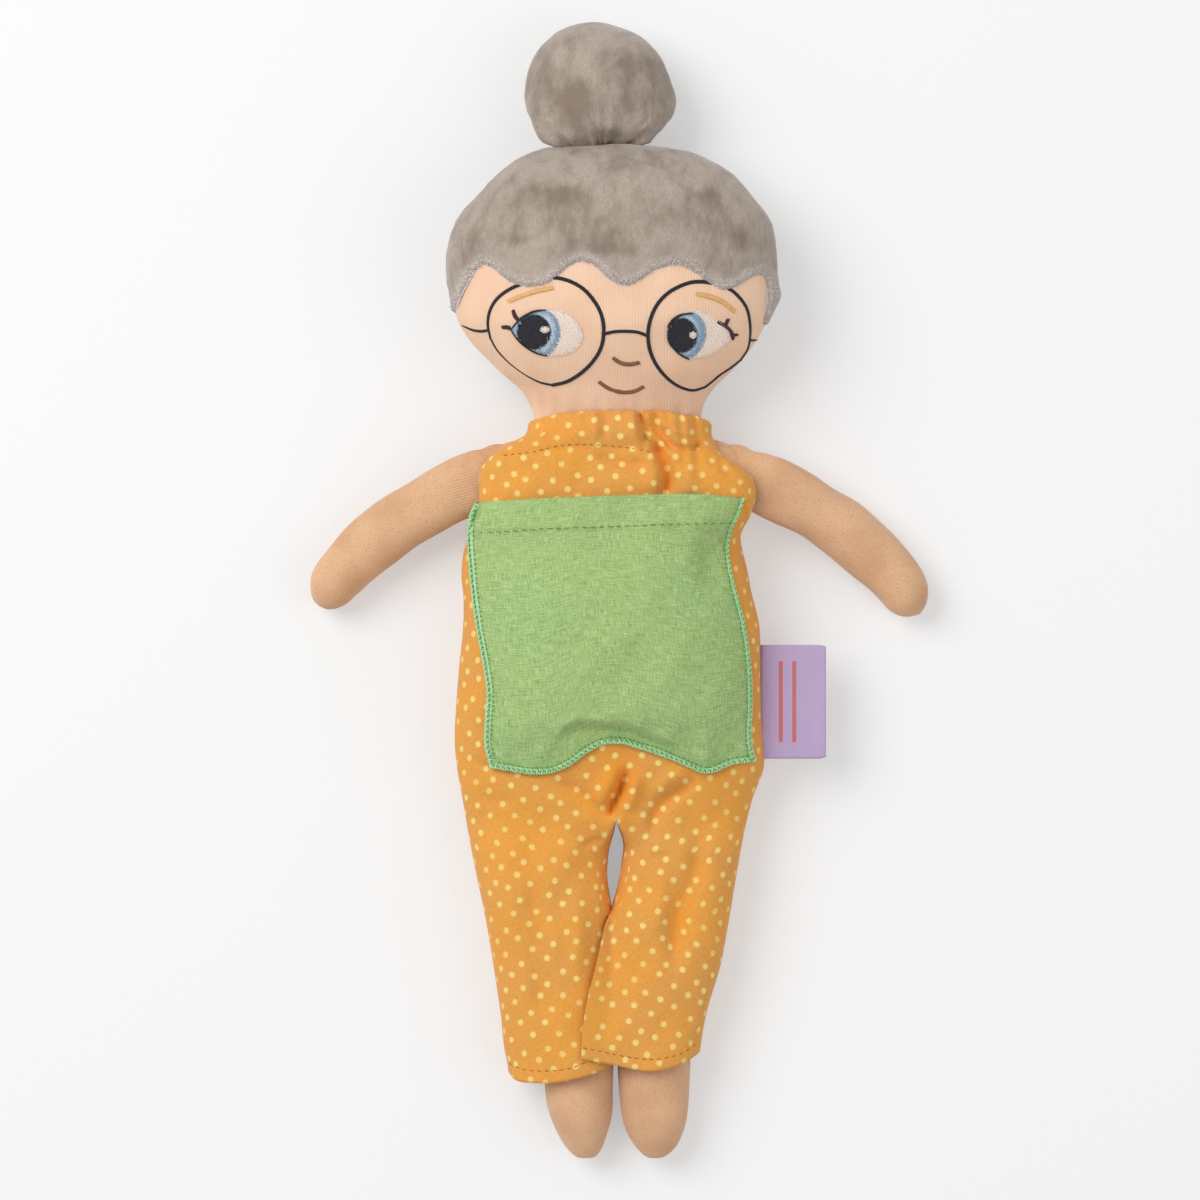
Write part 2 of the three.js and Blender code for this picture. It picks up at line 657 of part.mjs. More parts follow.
// Legs, side by side inside the two trouser legs
const footZ = LEG_HALF_THICKNESS - FLOOR_SINK;
for (const [side, sign] of [["right", -1], ["left", 1]]) {
  const legX = TROUSER_PARTING_X + sign * (LEG_HALF_WIDTH + LEG_SPACE);
  const legForm = new Form({
    spine: [
      [legX, HIP_Y, HIP_Z],
      [legX, HIP_Y - 40, HIP_Z],
      [legX, HIP_Y - 96, HIP_Z - 0.6],
      [legX - sign * 0.8, HIP_Y - 116, footZ],
      [legX - sign * 2.4, HIP_Y - LEG_LENGTH, footZ],
    ],
    profile: [
      [11.6, 0, FLAT_SEAM],
      [LEG_HALF_WIDTH, 10, 5],
      [LEG_HALF_WIDTH, 26, LEG_HALF_THICKNESS - 1.4],
      [LEG_HALF_WIDTH, 60, LEG_HALF_THICKNESS],
      [LEG_HALF_WIDTH, 95, LEG_HALF_THICKNESS],
      [11.7, 113.5, 11.6],
      [9.8, 122.5, 10],
      [6, 128, 6.6],
      [0, LEG_LENGTH, 0],
    ],
  });
  const edge = foldEdge([legX, HIP_Y, HIP_Z], 2 * (LEG_HALF_WIDTH - 1.4), "x");
  addLimb(side, "leg", legForm, {
    pivotDistance: LEG_PIVOT,
    halfWidth: LEG_HALF_WIDTH,
    swing: [0, sign * LEG_SPLAY],
    trim: (root) => root.add(edge),
  });
}

// Jumpsuit: front and back panels from the casing to the hips, with armholes and soft folds from the gathers
const suitTopY = CASING_BOTTOM_Y - CLOTH_GAP;
const suitForm = new Form({
  spine: [
    [-0.3, suitTopY + 2, NECK_Z],
    [-1.5, 20, 21.4],
    [SUIT_X, -20, SUIT_HALF_THICKNESS - FLOOR_SINK],
    [SUIT_X - 0.3, SUIT_BOTTOM_Y - 3, 19.5],
  ],
  profile: [
    [SUIT_HALF_WIDTH - 15, 0, 17.2],
    [SUIT_HALF_WIDTH - 8.5, 6, 18],
    [SUIT_HALF_WIDTH - 6.5, 20, 19.8],
    [SUIT_HALF_WIDTH - 5, 33, 21.3],
    [SUIT_HALF_WIDTH - 2.5, 53, SUIT_HALF_THICKNESS],
    [SUIT_HALF_WIDTH - 0.5, 93, SUIT_HALF_THICKNESS - 0.6],
    [SUIT_HALF_WIDTH, 118, 18.5],
  ],
  fullness: 2.2,
  fold: (u, v) => SUIT_FOLD_DEPTH * Math.cos(2 * Math.PI * SUIT_FOLDS * v) * Math.max(1 - 3 * u, 0),
});

function armhole(sign) {
  const length = 2 * (ARM_HALF_WIDTH + ARMHOLE_CLEARANCE);
  const hole = new THREE.CylinderGeometry(ARMHOLE_RADIUS, ARMHOLE_RADIUS, length, 20);
  return cutter(hole.translate(sign * SHOULDER_X, SHOULDER_Y, SHOULDER_Z));
}

const SUIT_GRID = { rows: 10, columns: 12 };
for (const face of ["front", "back"]) {
  const shell = { inner: -SUIT_CLOTH, outer: 0, ...SUIT_GRID, flat: face === "back" };
  const cloth = solidOf(panel(suitForm, face, shell)).subtract(armhole(-1)).subtract(armhole(1));
  addMesh(`jumpsuit_${face}`, geometryFrom(between(cloth, SUIT_BOTTOM_Y, suitTopY)), COLOURS.suit);
}

// Trouser legs: each a front and a back panel with lengthwise folds, in a slow taper to the hem
const trousers = [
  { side: "right", sign: -1, hemY: RIGHT_HEM_Y, widths: [27.6, 26.6, 24.2, 20.4] },
  { side: "left", sign: 1, hemY: LEFT_HEM_Y, widths: [24.6, 23.6, 20.8, 16.8] },
];
for (const trouser of trousers) {
  const top = TROUSER_TOP_Y + TROUSER_RISE;
  const length = top - trouser.hemY + 2;
  const inner = TROUSER_PARTING_X + (trouser.sign * CLOTH_GAP) / 2;
  const centre = (i) => inner + trouser.sign * (trouser.widths[i] + TROUSER_FOLD_DEPTH);
  const tubeZ = TROUSER_HALF_THICKNESS - FLOOR_SINK;
  trouser.form = new Form({
    spine: trouser.widths.map((_, i) => [centre(i), top - (i / 3) * length, tubeZ]),
    profile: trouser.widths.map((width, i) => [width, (i / 3) * length, TROUSER_HALF_THICKNESS]),
    fullness: 2.4,
    fold: (u, v) => TROUSER_FOLD_DEPTH * Math.cos(2 * Math.PI * TROUSER_FOLDS * v + 3 * u),
  });
  for (const face of ["front", "back"]) {
    const shell = { inner: -SUIT_CLOTH, outer: 0, rows: 6, columns: 9, flat: face === "back" };
    const cloth = between(solidOf(panel(trouser.form, face, shell)), trouser.hemY, TROUSER_TOP_Y);
    addMesh(`${trouser.side}_trouser_${face}`, geometryFrom(cloth), COLOURS.suit);
  }
}

// The seat of the jumpsuit crosses the hips: one wide tube that parts into two
function seatLayer(offset) {
  const hips = new Form({
    spine: [
      [SUIT_X - 0.3, SUIT_BOTTOM_Y + 3, 19.5],
      [SUIT_X, CROTCH_Y, TROUSER_HALF_THICKNESS + 0.3],
    ],
    profile: [
      [SUIT_HALF_WIDTH, 0, 18.3],
      [SUIT_HALF_WIDTH - 4.5, SUIT_BOTTOM_Y + 3 - CROTCH_Y, TROUSER_HALF_THICKNESS],
    ],
    fullness: 2.2,
  });
  const ringOf = (form) => (u, v, o) => form.at(u, v, o);
  let layer = solidOf(filled(ringOf(hips), { offset, levels: [0, 0.5, 1], columns: 22 }));
  for (const { sign, widths } of trousers) {
    const middle = TROUSER_PARTING_X + sign * (CLOTH_GAP / 2 + widths[0]);
    const tube = new Form({
      spine: [
        [middle, CROTCH_Y + 3, TROUSER_HALF_THICKNESS + 0.3],
        [middle, TROUSER_TOP_Y - 4, TROUSER_HALF_THICKNESS + 0.3],
      ],
      profile: [
        [widths[0], 0, TROUSER_HALF_THICKNESS],
        [widths[0], CROTCH_Y + 7 - TROUSER_TOP_Y, TROUSER_HALF_THICKNESS],
      ],
      fullness: 2.2,
    });
    layer = layer.add(solidOf(filled(ringOf(tube), { offset, levels: [0, 1], columns: 16 })));
  }
  return layer;
}
const seat = between(
  seatLayer(0).subtract(seatLayer(-SUIT_CLOTH)),
  TROUSER_TOP_Y + CLOTH_GAP,
  SUIT_BOTTOM_Y - CLOTH_GAP,
);
addMesh("jumpsuit_seat", geometryFrom(seat), COLOURS.suit);

// Neck casing: a gathered channel, open at its stitched bottom edge, with a ring of elastic inside
const elasticInset = CASING_WALL + GATHER_DEPTH + SEAM_GAP;
const liningInset = elasticInset + ELASTIC_THICKNESS + SEAM_GAP;
const CASING_HALF_WIDTH = NECK_HALF_WIDTH + CASING_CLEARANCE + liningInset + CASING_WALL;
const CASING_HALF_THICKNESS = NECK_HALF_THICKNESS + CASING_CLEARANCE + liningInset + CASING_WALL;

function casingRing(share, y, inset, gather) {
  const angle = 2 * Math.PI * share;
  const drop = (CASING_TOP_Y - y) / (CASING_TOP_Y - CASING_BOTTOM_Y);
  const flare = CASING_FLARE * drop;
  const ripple = gather * Math.cos(GATHERS * angle);
  const rounded = (t) => Math.sign(t) * Math.abs(t) ** (2 / headForm.fullness);
  return new THREE.Vector3(
    CASING_X + (CASING_HALF_WIDTH + flare - inset + ripple) * rounded(Math.cos(angle)),
    y,
    NECK_Z + (CASING_HALF_THICKNESS - inset + ripple) * rounded(Math.sin(angle)),
  );
}

// Sweeps a closed section once round the neck. Each corner is [y, inset, gather depth].
function neckRing(section, steps) {
  const points = [];
  const faces = [];
  for (let i = 0; i < steps; i++) {
    for (const [y, inset, gather] of section) points.push(casingRing(i / steps, y, inset, gather));
  }
  const n = section.length;
  const at = (i, k) => (i % steps) * n + (k % n);
  for (let i = 0; i < steps; i++) {
    for (let k = 0; k < n; k++) {
      faces.push(at(i, k), at(i, k + 1), at(i + 1, k + 1), at(i, k), at(i + 1, k + 1), at(i + 1, k));
    }
  }
  return facingOut(geometryOf(points, faces));
}

const casing = neckRing(
  [
    [CASING_BOTTOM_Y, 0, GATHER_DEPTH],
    [CASING_TOP_Y - 4, 0, GATHER_DEPTH],
    [CASING_TOP_Y, CASING_WALL, 0],
    [CASING_TOP_Y, liningInset + CASING_WALL, 0],
    [CASING_BOTTOM_Y + 3, liningInset + CASING_WALL, 0],
    [CASING_BOTTOM_Y + 3, liningInset, 0],
    [CASING_TOP_Y - 2, liningInset, 0],
    [CASING_TOP_Y - 4, CASING_WALL, GATHER_DEPTH],
    [CASING_BOTTOM_Y, CASING_WALL, GATHER_DEPTH],
  ],
  GATHERS * 4,
);
addMesh("neck_casing", casing, COLOURS.suit);

const elasticTop = CASING_TOP_Y - 4 - CLOTH_GAP;
const elastic = neckRing(
  [
    [elasticTop, elasticInset, 0],
    [elasticTop, elasticInset + ELASTIC_THICKNESS, 0],
    [elasticTop - ELASTIC_WIDTH, elasticInset + ELASTIC_THICKNESS, 0],
    [elasticTop - ELASTIC_WIDTH, elasticInset, 0],
  ],
  GATHERS * 2,
);
addMesh("neck_elastic", elastic, COLOURS.elastic);

// Patch pocket: sewn on three sides, open at the top
const pocketLeftEdge = new THREE.SplineCurve(
  places([[-46.5, 0], [-48.6, 0.3], [POCKET_LEFT_X, 0.6], [POCKET_LEFT_X, 0.85], [-49, 1]]),
);
const pocketRightEdge = new THREE.SplineCurve(
  places([[POCKET_RIGHT_X, 0], [47.6, 0.35], [44.5, 0.65], [42, 0.88], [44, 1]]),
);
const POCKET_BOTTOM_Y = SUIT_BOTTOM_Y + 2 * EDGING_HALF_WIDTH + CLOTH_GAP + SEAM_GAP;

function pocketPlace(u, v) {
  const x = THREE.MathUtils.lerp(pocketLeftEdge.getPoint(v).x, pocketRightEdge.getPoint(v).x, u);
  const bottom = POCKET_BOTTOM_Y + POCKET_ARCH * Math.exp(-(((u - 0.47) / 0.15) ** 2));
  const top = POCKET_TOP_Y - POCKET_CORNER_DROP * Math.exp(-((u / 0.1) ** 2));
  return [x, THREE.MathUtils.lerp(bottom, top, v)];
}

// How far the pocket stands off the jumpsuit: nothing at its sewn sides, most in the middle of its mouth
const pocketLift = (u, v) => POCKET_LIFT * (1 - Math.abs(2 * u - 1) ** 5) * (1 - (1 - v) ** 4);
const onSuit = (x, y, lift) => shifted(suitForm.over(x, y, SEAM_GAP + CLOTH_GAP), SEAM_GAP / 2 + lift);

function pocketSurface(u, v, offset) {
  const [x, y] = pocketPlace(u, v);
  return onSuit(x, y, pocketLift(u, v) + offset);
}
const pocket = sheet(pocketSurface, { inner: 0, outer: POCKET_CLOTH, rows: 10, columns: 12 });
addMesh("pocket", pocket, COLOURS.pocket);

// Both sides of a band that follows a run of places
function bandSides(run, halfWidth) {
  const last = run.length - 1;
  const lengthwise = run.map((_, i) => run[Math.min(i + 1, last)].clone().sub(run[Math.max(i - 1, 0)]));
  return [-1, 1].map((sign) =>
    run.map((place, i) => {
      const across = new THREE.Vector2(-lengthwise[i].y, lengthwise[i].x).normalize();
      return place.clone().addScaledVector(across, sign * halfWidth);
    }),
  );
}

// Stitched edging round the pocket's sides and bottom
const EDGING_STEPS = 10;
const edgingShares = [];
for (let i = 0; i <= EDGING_STEPS; i++) edgingShares.push([0, 1 - i / EDGING_STEPS]);
for (let i = 1; i < 2 * EDGING_STEPS; i++) edgingShares.push([i / (2 * EDGING_STEPS), 0]);
for (let i = 0; i <= EDGING_STEPS; i++) edgingShares.push([1, i / EDGING_STEPS]);
const edgingRun = edgingShares.map(([u, v]) => {
  const away = EDGING_HALF_WIDTH + CLOTH_GAP + SEAM_GAP;
  const [x, y] = pocketPlace(u, v);
  const sideways = u === 0 ? -away : u === 1 ? away : 0;
  return new THREE.Vector2(x + sideways, v === 0 ? y - away : y);
});
const [edgingOuter, edgingInner] = bandSides(edgingRun, EDGING_HALF_WIDTH);

function edgingSurface(u, v, offset) {
  const i = Math.round(u * (edgingRun.length - 1));
  const side = v < 0.5 ? edgingOuter[i] : edgingInner[i];
  return onSuit(side.x, Math.max(side.y, SUIT_BOTTOM_Y), offset);
}
addMesh(
  "pocket_edging",
  sheet(edgingSurface, { inner: 0, outer: POCKET_CLOTH, rows: edgingRun.length - 1, columns: 1 }),
  COLOURS.edging,
);

// Label folded in half, its two ends sewn into the side seam
const labelEdge = suitForm.over(2 * SUIT_HALF_WIDTH, LABEL_Y);
const labelShape = new THREE.Shape();
const labelOuter = LABEL_CLOTH + LABEL_FOLD_GAP / 2;
const labelStraight = LABEL_REACH - labelOuter;
labelShape.moveTo(0, -labelOuter);
labelShape.lineTo(labelStraight, -labelOuter);
labelShape.absarc(labelStraight, 0, labelOuter, -Math.PI / 2, Math.PI / 2);
labelShape.lineTo(0, labelOuter);
labelShape.lineTo(0, LABEL_FOLD_GAP / 2);
labelShape.lineTo(labelStraight, LABEL_FOLD_GAP / 2);
labelShape.absarc(labelStraight, 0, LABEL_FOLD_GAP / 2, Math.PI / 2, -Math.PI / 2, true);
labelShape.lineTo(0, -LABEL_FOLD_GAP / 2);
labelShape.closePath();
const labelGeometry = new THREE.ExtrudeGeometry(labelShape, {
  depth: LABEL_LENGTH, bevelEnabled: false, curveSegments: 6,
});
labelGeometry.rotateX(Math.PI / 2);
labelGeometry.translate(labelEdge.x + LABEL_SEAM_GAP, LABEL_Y + LABEL_LENGTH / 2, labelEdge.z);
addMesh("label", geometryFrom(cutter(labelGeometry)), COLOURS.label);

// Face stitching: lines and patches of thread that lie on the head's front
function threadLine(pairs, halfWidth, steps, layer = threadLayer) {
  const run = new THREE.SplineCurve(places(pairs)).getSpacedPoints(steps);
  const [one, other] = bandSides(run, halfWidth);
  return cutOut(layer, [...one, ...other.reverse()]);
}

const joined = (solids) => solids.reduce((all, solid) => all.add(solid));

// Round spectacle frames, open where the hair hangs over them, with a bridge and two side pieces
const rightRim = [
  [-27.6, 114.6], [-20, 113.4], [-11.8, 107.6], [-7, 98.5], [-7.2, 88.5], [-12.5, 80.6], [-20.6, 76.9],
  [-28.6, 77.4], [-36, 81.8], [-42.8, 87.4], [-46.9, 94.5], [-47.5, 101.5], [-45.2, 107.2], [-41.5, 110.8],
];
const leftRim = [
  [28, 112.8], [20.5, 110.8], [14.2, 104.8], [11.4, 96.4], [12.7, 87.2], [17.6, 79.8], [23.6, 76],
  [30, 76.2], [37, 80.2], [43.4, 86], [46.8, 92.8], [47.2, 100], [45.2, 105.6], [42.2, 109],
];
const glasses = joined([
  threadLine(rightRim, FRAME_HALF_WIDTH, 20),
  threadLine(leftRim, FRAME_HALF_WIDTH, 20),
  threadLine([[-6.8, 94.3], [2.4, 95.6], [11.8, 94.2]], FRAME_HALF_WIDTH, 4),
  threadLine([[-55.5, 98.4], [-51, 97.4], [-47, 97.1]], TEMPLE_HALF_WIDTH, 3),
  threadLine([[46.6, 94.4], [49, 94], [51.5, 94.4]], TEMPLE_HALF_WIDTH, 3),
]);
addMesh("glasses", geometryFrom(glasses), COLOURS.black);

const circle = (x, y, radius, steps = 16) =>
  Array.from({ length: steps }, (_, i) => {
    const angle = (2 * Math.PI * i) / steps;
    return new THREE.Vector2(x + radius * Math.cos(angle), y + radius * Math.sin(angle));
  });

// An eye is a soft almond that is fuller on one side
const almond = (x, y, lean, steps = 20) =>
  Array.from({ length: steps }, (_, i) => {
    const angle = (2 * Math.PI * i) / steps;
    const height = EYE_HALF_HEIGHT * Math.sin(angle) * (1 + lean * 0.12 * Math.cos(angle));
    return new THREE.Vector2(x + EYE_HALF_WIDTH * Math.cos(angle), y + height);
  });

const eyes = [
  {
    side: "right",
    x: RIGHT_EYE_X,
    lean: 1,
    lashes: [
      [
        [-27.6, 104.4], [-34.4, 103], [-38.4, 100.2], [-40.4, 96.8],
        [-38.4, 92.4], [-33.6, 89], [-26.8, 87.7],
      ],
      [[-37.6, 100.6], [-39.6, 103.8]],
      [[-40, 97.2], [-43.4, 97.8]],
    ],
  },
  {
    side: "left",
    x: LEFT_EYE_X,
    lean: -1,
    lashes: [
      [[36.4, 100.4], [39.4, 98.2], [41.4, 94]],
      [[39, 98.4], [40.6, 100.8]],
      [[41, 95], [43.8, 95.4]],
    ],
  },
];
for (const { side, x, lean, lashes } of eyes) {
  const iris = [x - 4.5, EYE_Y];
  const pupil = [x - 5, EYE_Y - 0.1];
  const glint = [x - 1.4, EYE_Y + 0.9];
  const patch = cutOut(threadLayer, almond(x, EYE_Y, lean));
  const disc = (place, radius) => cutOut(threadLayer, circle(...place, radius));
  const wideLayer = headLayer(0, 2 * TRIM_HEIGHT + TRIM_LIFT);
  const space = (place, radius) => cutOut(wideLayer, circle(...place, radius + INLAY_GAP));
  const lashSteps = [9, 1, 1];
  const lashLines = (grow, layer) =>
    joined(lashes.map((run, i) => threadLine(run, LASH_HALF_WIDTH + grow, lashSteps[i], layer)));
  const lashSpace = lashLines(INLAY_GAP, wideLayer);
  const white = largest(patch.subtract(space(iris, IRIS_RADIUS)).subtract(lashSpace));
  const irisDisc = patch.intersect(disc(iris, IRIS_RADIUS));
  const ring = largest(irisDisc.subtract(space(pupil, PUPIL_RADIUS)).subtract(lashSpace));
  const dot = disc(pupil, PUPIL_RADIUS).subtract(space(glint, GLINT_RADIUS));
  addMesh(`${side}_eye_white`, geometryFrom(white), COLOURS.white);
  addMesh(`${side}_iris`, geometryFrom(ring), COLOURS.blue);
  addMesh(`${side}_pupil`, geometryFrom(dot), COLOURS.black);
  addMesh(`${side}_glint`, geometryFrom(disc(glint, GLINT_RADIUS)), COLOURS.white);
  addMesh(`${side}_lashes`, geometryFrom(lashLines(0, threadLayer)), COLOURS.maroon);
}

const rightBrow = threadLine([[-40.9, 107.6], [-33, 110.3], [-24.8, 112]], BROW_HALF_WIDTH, 5);
const leftBrow = threadLine([[28.6, 109.6], [36, 107.2], [41.6, 103.9]], BROW_HALF_WIDTH, 5);
addMesh("right_brow", geometryFrom(rightBrow), COLOURS.gold);
addMesh("left_brow", geometryFrom(leftBrow), COLOURS.gold);
const nose = threadLine([[-2.4, 86.2], [2.6, 84.4], [7.4, 84.6]], NOSE_HALF_WIDTH, 4);
addMesh("nose", geometryFrom(nose), COLOURS.brown);
const mouth = threadLine([[-7.4, 77.5], [0.9, 74.2], [8.8, 75.9]], BROW_HALF_WIDTH, 6);
addMesh("mouth", geometryFrom(mouth), COLOURS.brown);

export default doll;
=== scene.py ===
"""A stuffed rag doll of sewn cloth that lies on its back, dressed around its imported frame.

Sizes are millimetres on the frame's axes: X across the doll, Y towards its bun, Z up out of its face.
Outlines are places in the photograph, which spot() turns into millimetres.
"""

import logging
import math
from dataclasses import dataclass, field
from enum import Enum
from typing import Callable, Iterable, Sequence

import bmesh
import bpy
import numpy as np
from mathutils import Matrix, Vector
from mathutils.bvhtree import BVHTree
from mathutils.geometry import delaunay_2d_cdt


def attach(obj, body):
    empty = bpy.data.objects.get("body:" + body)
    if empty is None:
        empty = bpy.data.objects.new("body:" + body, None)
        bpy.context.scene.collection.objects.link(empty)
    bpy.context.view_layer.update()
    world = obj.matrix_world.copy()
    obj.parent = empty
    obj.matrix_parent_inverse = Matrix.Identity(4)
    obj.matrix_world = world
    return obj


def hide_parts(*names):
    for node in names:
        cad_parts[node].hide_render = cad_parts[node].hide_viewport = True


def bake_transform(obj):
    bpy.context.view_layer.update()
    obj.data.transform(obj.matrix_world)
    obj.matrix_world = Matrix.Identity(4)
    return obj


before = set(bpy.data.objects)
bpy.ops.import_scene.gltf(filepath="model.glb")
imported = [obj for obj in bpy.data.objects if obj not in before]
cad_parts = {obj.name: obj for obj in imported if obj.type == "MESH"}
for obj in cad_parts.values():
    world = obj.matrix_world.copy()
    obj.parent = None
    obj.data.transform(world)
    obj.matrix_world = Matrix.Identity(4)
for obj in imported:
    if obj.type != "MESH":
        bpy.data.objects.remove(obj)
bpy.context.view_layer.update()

LOG = logging.getLogger("doll")

MM = 0.001
MM_PER_PIXEL = 0.37
ORIGIN_PIXEL = (619.5, 590.5)
FRAME_PIXELS = 1200
SIGHT_PLANE = 30.0
CAMERA_HEIGHT = 2600.0
CAMERA_AXIS = (-7.2, -3.3)
CLOTH_UV = "cloth"
LIMB_HEIGHT = 12.0
BUN_HEIGHT = 20.0
FACE_HEIGHT = 54.0
HAIR_HEIGHT = 50.0
HEAD_LEVEL = 29.5
NECK_LEVEL = 22.8
HIPS = {"right": -16.6, "left": 14.2}
WHITE = (1.0, 1.0, 1.0, 1.0)

Colour = tuple[float, float, float, float]
Pair = tuple[float, float]


def srgb(red: float, green: float, blue: float) -> Colour:
    """Turns a screen colour into scene linear.

    Args:
        red: Red from 0 to 255.
        green: Green from 0 to 255.
        blue: Blue from 0 to 255.

    Returns:
        The linear colour with an alpha of 1.
    """
    parts = [value / 255 for value in (red, green, blue)]
    linear = [p / 12.92 if p <= 0.04045 else ((p + 0.055) / 1.055) ** 2.4 for p in parts]
    return (linear[0], linear[1], linear[2], 1.0)


def spot(px: float, py: float, height: float = SIGHT_PLANE) -> Pair:
    """Gives the place of a pixel of the photograph.

    Args:
        px: The pixel from the left.
        py: The pixel from the top.
        height: How high above the floor the place lies, in millimetres.

    Returns:
        Its X and Y in millimetres.
    """
    flat = ((px - ORIGIN_PIXEL[0]) * MM_PER_PIXEL, (ORIGIN_PIXEL[1] - py) * MM_PER_PIXEL)
    nearer = (CAMERA_HEIGHT + SIGHT_PLANE - height) / CAMERA_HEIGHT
    return tuple(axis + (value - axis) * nearer for value, axis in zip(flat, CAMERA_AXIS))


def spots(pixels: Iterable[Pair], height: float = SIGHT_PLANE) -> np.ndarray:
    """Gives the places of several pixels at one height, one row each."""
    return np.array([spot(px, py, height) for px, py in pixels])


def oval(px: float, py: float, rx: float, ry: float, count: int = 20) -> tuple[Pair, ...]:
    """Gives an oval's outline in the photograph.

    Args:
        px: Its middle from the left.
        py: Its middle from the top.
        rx: Its half width in pixels.
        ry: Its half height in pixels.
        count: How many points to return.

    Returns:
        The outline's points.
    """
    turns = [2 * math.pi * k / count for k in range(count)]
    return tuple((px + rx * math.cos(t), py + ry * math.sin(t)) for t in turns)


def smooth_run(table: Sequence[Sequence[float]] | np.ndarray, count: int) -> np.ndarray:
    """Draws a smooth curve through rows of numbers.

    Args:
        table: The rows, each a point with any number of parts.
        count: How many rows to return, evenly spaced along the curve.

    Returns:
        An array of count rows.
    """
    rows = np.array(table, float)
    along = np.concatenate([[0], np.cumsum(np.linalg.norm(np.diff(rows, axis=0), axis=1))])
    slopes = np.gradient(rows, along, axis=0)
    at = np.linspace(0, along[-1], count)
    k = np.clip(np.searchsorted(along, at, side="right") - 1, 0, len(rows) - 2)
    span = (along[k + 1] - along[k])[:, None]
    t = (at - along[k])[:, None] / span
    return (
        (2 * t**3 - 3 * t**2 + 1) * rows[k]
        + (t**3 - 2 * t**2 + t) * span * slopes[k]
        + (3 * t**2 - 2 * t**3) * rows[k + 1]
        + (t**3 - t**2) * span * slopes[k + 1]
    )


def unit(rows: np.ndarray) -> np.ndarray:
    """Scales each row to a length of 1."""
    return rows / np.linalg.norm(rows, axis=1)[:, None]


def course(run: np.ndarray) -> tuple[np.ndarray, np.ndarray]:
    """Gives a line's heading at each of its points, and the way to its left."""
    heading = unit(np.gradient(run, axis=0))
    return heading, np.stack([-heading[:, 1], heading[:, 0]], 1)


def length_of(run: np.ndarray) -> float:
    """Measures a line through its points."""
    return np.linalg.norm(np.diff(run, axis=0), axis=1).sum()


def signed_power(value: np.ndarray, power: float | np.ndarray) -> np.ndarray:
    """Raises the size of a value to a power and keeps its sign."""
    return np.sign(value) * np.abs(value) ** power


def smoothstep(value: np.ndarray | float, low: float, high: float) -> np.ndarray:
    """Rises smoothly from 0 at low to 1 at high."""
    t = np.clip((np.asarray(value, float) - low) / (high - low), 0, 1)
    return t * t * (3 - 2 * t)


def lumps(points: np.ndarray, wavelength: float, seed: int) -> np.ndarray:
    """A soft random height from about -1 to 1, the same at each run.

    Args:
        points: Places in millimetres, with the last axis X, Y, Z.
        wavelength: The size of a lump in millimetres.
        seed: Chooses the pattern.

    Returns:
        One height for each place.
    """
    draw = np.random.default_rng(seed)
    total = np.zeros(points.shape[:-1])
    for _ in range(9):
        direction = draw.normal(size=points.shape[-1])
        direction *= 2 * math.pi / wavelength * draw.uniform(0.6, 1.5) / np.linalg.norm(direction)
        total += np.sin(points @ direction + draw.uniform(0, 2 * math.pi))
    return total / 3


def tapered(u: np.ndarray, reach: float) -> np.ndarray:
    """Is 1, and falls to 0 at both ends of a form."""
    return smoothstep(u, 0, reach) * smoothstep(1 - u, 0, reach)


def above_floor(z: np.ndarray, softness: float = 0.5) -> np.ndarray:
    """Presses heights flat where they would go through the floor."""
    return (z + np.sqrt(z * z + softness * softness)) / 2


class Bend(Enum):
    """How a crease lifts the cloth beside its line."""

    VALLEY = "valley"
    RIDGE = "ridge"
    STEP = "step"


@dataclass(frozen=True)
class Crease:
    """A fold that follows a line of the photograph."""

    pixels: tuple[Pair, ...]
    depth: float
    width: float
    bend: Bend = Bend.VALLEY
    fade: float = 0.3

    def height(self, places: np.ndarray) -> np.ndarray:
        """Gives the lift that the fold makes.

        Args:
            places: X and Y in millimetres on the last axis.

        Returns:
            The lift at each place in millimetres.
        """
        flat = places.reshape(-1, 2)
        line = smooth_run(spots(self.pixels), 24)
        away, share, side = distance_to(line, flat)
        ends = np.minimum(smoothstep(share, -0.02, self.fade), smoothstep(1 - share, -0.02, self.fade))
        bell = np.exp(-((away / self.width) ** 2))
        if self.bend is Bend.STEP:
            lift = self.depth * side * (away / self.width) * bell * 1.8
        else:
            lift = (self.depth if self.bend is Bend.RIDGE else -self.depth) * bell
        return (lift * ends).reshape(places.shape[:-1])


def distance_to(line: np.ndarray, places: np.ndarray) -> tuple[np.ndarray, np.ndarray, np.ndarray]:
    """Measures places against a line.

    Args:
        line: The line's points, X and Y.
        places: The places, X and Y.

    Returns:
        Each place's distance, its share of the way along, and its side: 1 on the left, -1 on the right.
    """
    starts, steps = line[:-1], np.diff(line, axis=0)
    lengths = np.linalg.norm(steps, axis=1)
    begun = np.concatenate([[0], np.cumsum(lengths)])
    best = np.full(len(places), np.inf)
    share, side = np.zeros(len(places)), np.ones(len(places))
    for start, step, length, before in zip(starts, steps, lengths, begun):
        rel = places - start
        t = np.clip(rel @ step / max(length * length, 1e-9), 0, 1)
        away = np.linalg.norm(rel - t[:, None] * step, axis=1)
        closer = away < best
        best = np.where(closer, away, best)
        share = np.where(closer, (before + t * length) / begun[-1], share)
        turn = np.sign(step[0] * rel[:, 1] - step[1] * rel[:, 0])
        side = np.where(closer, turn, side)
    return best, share, side


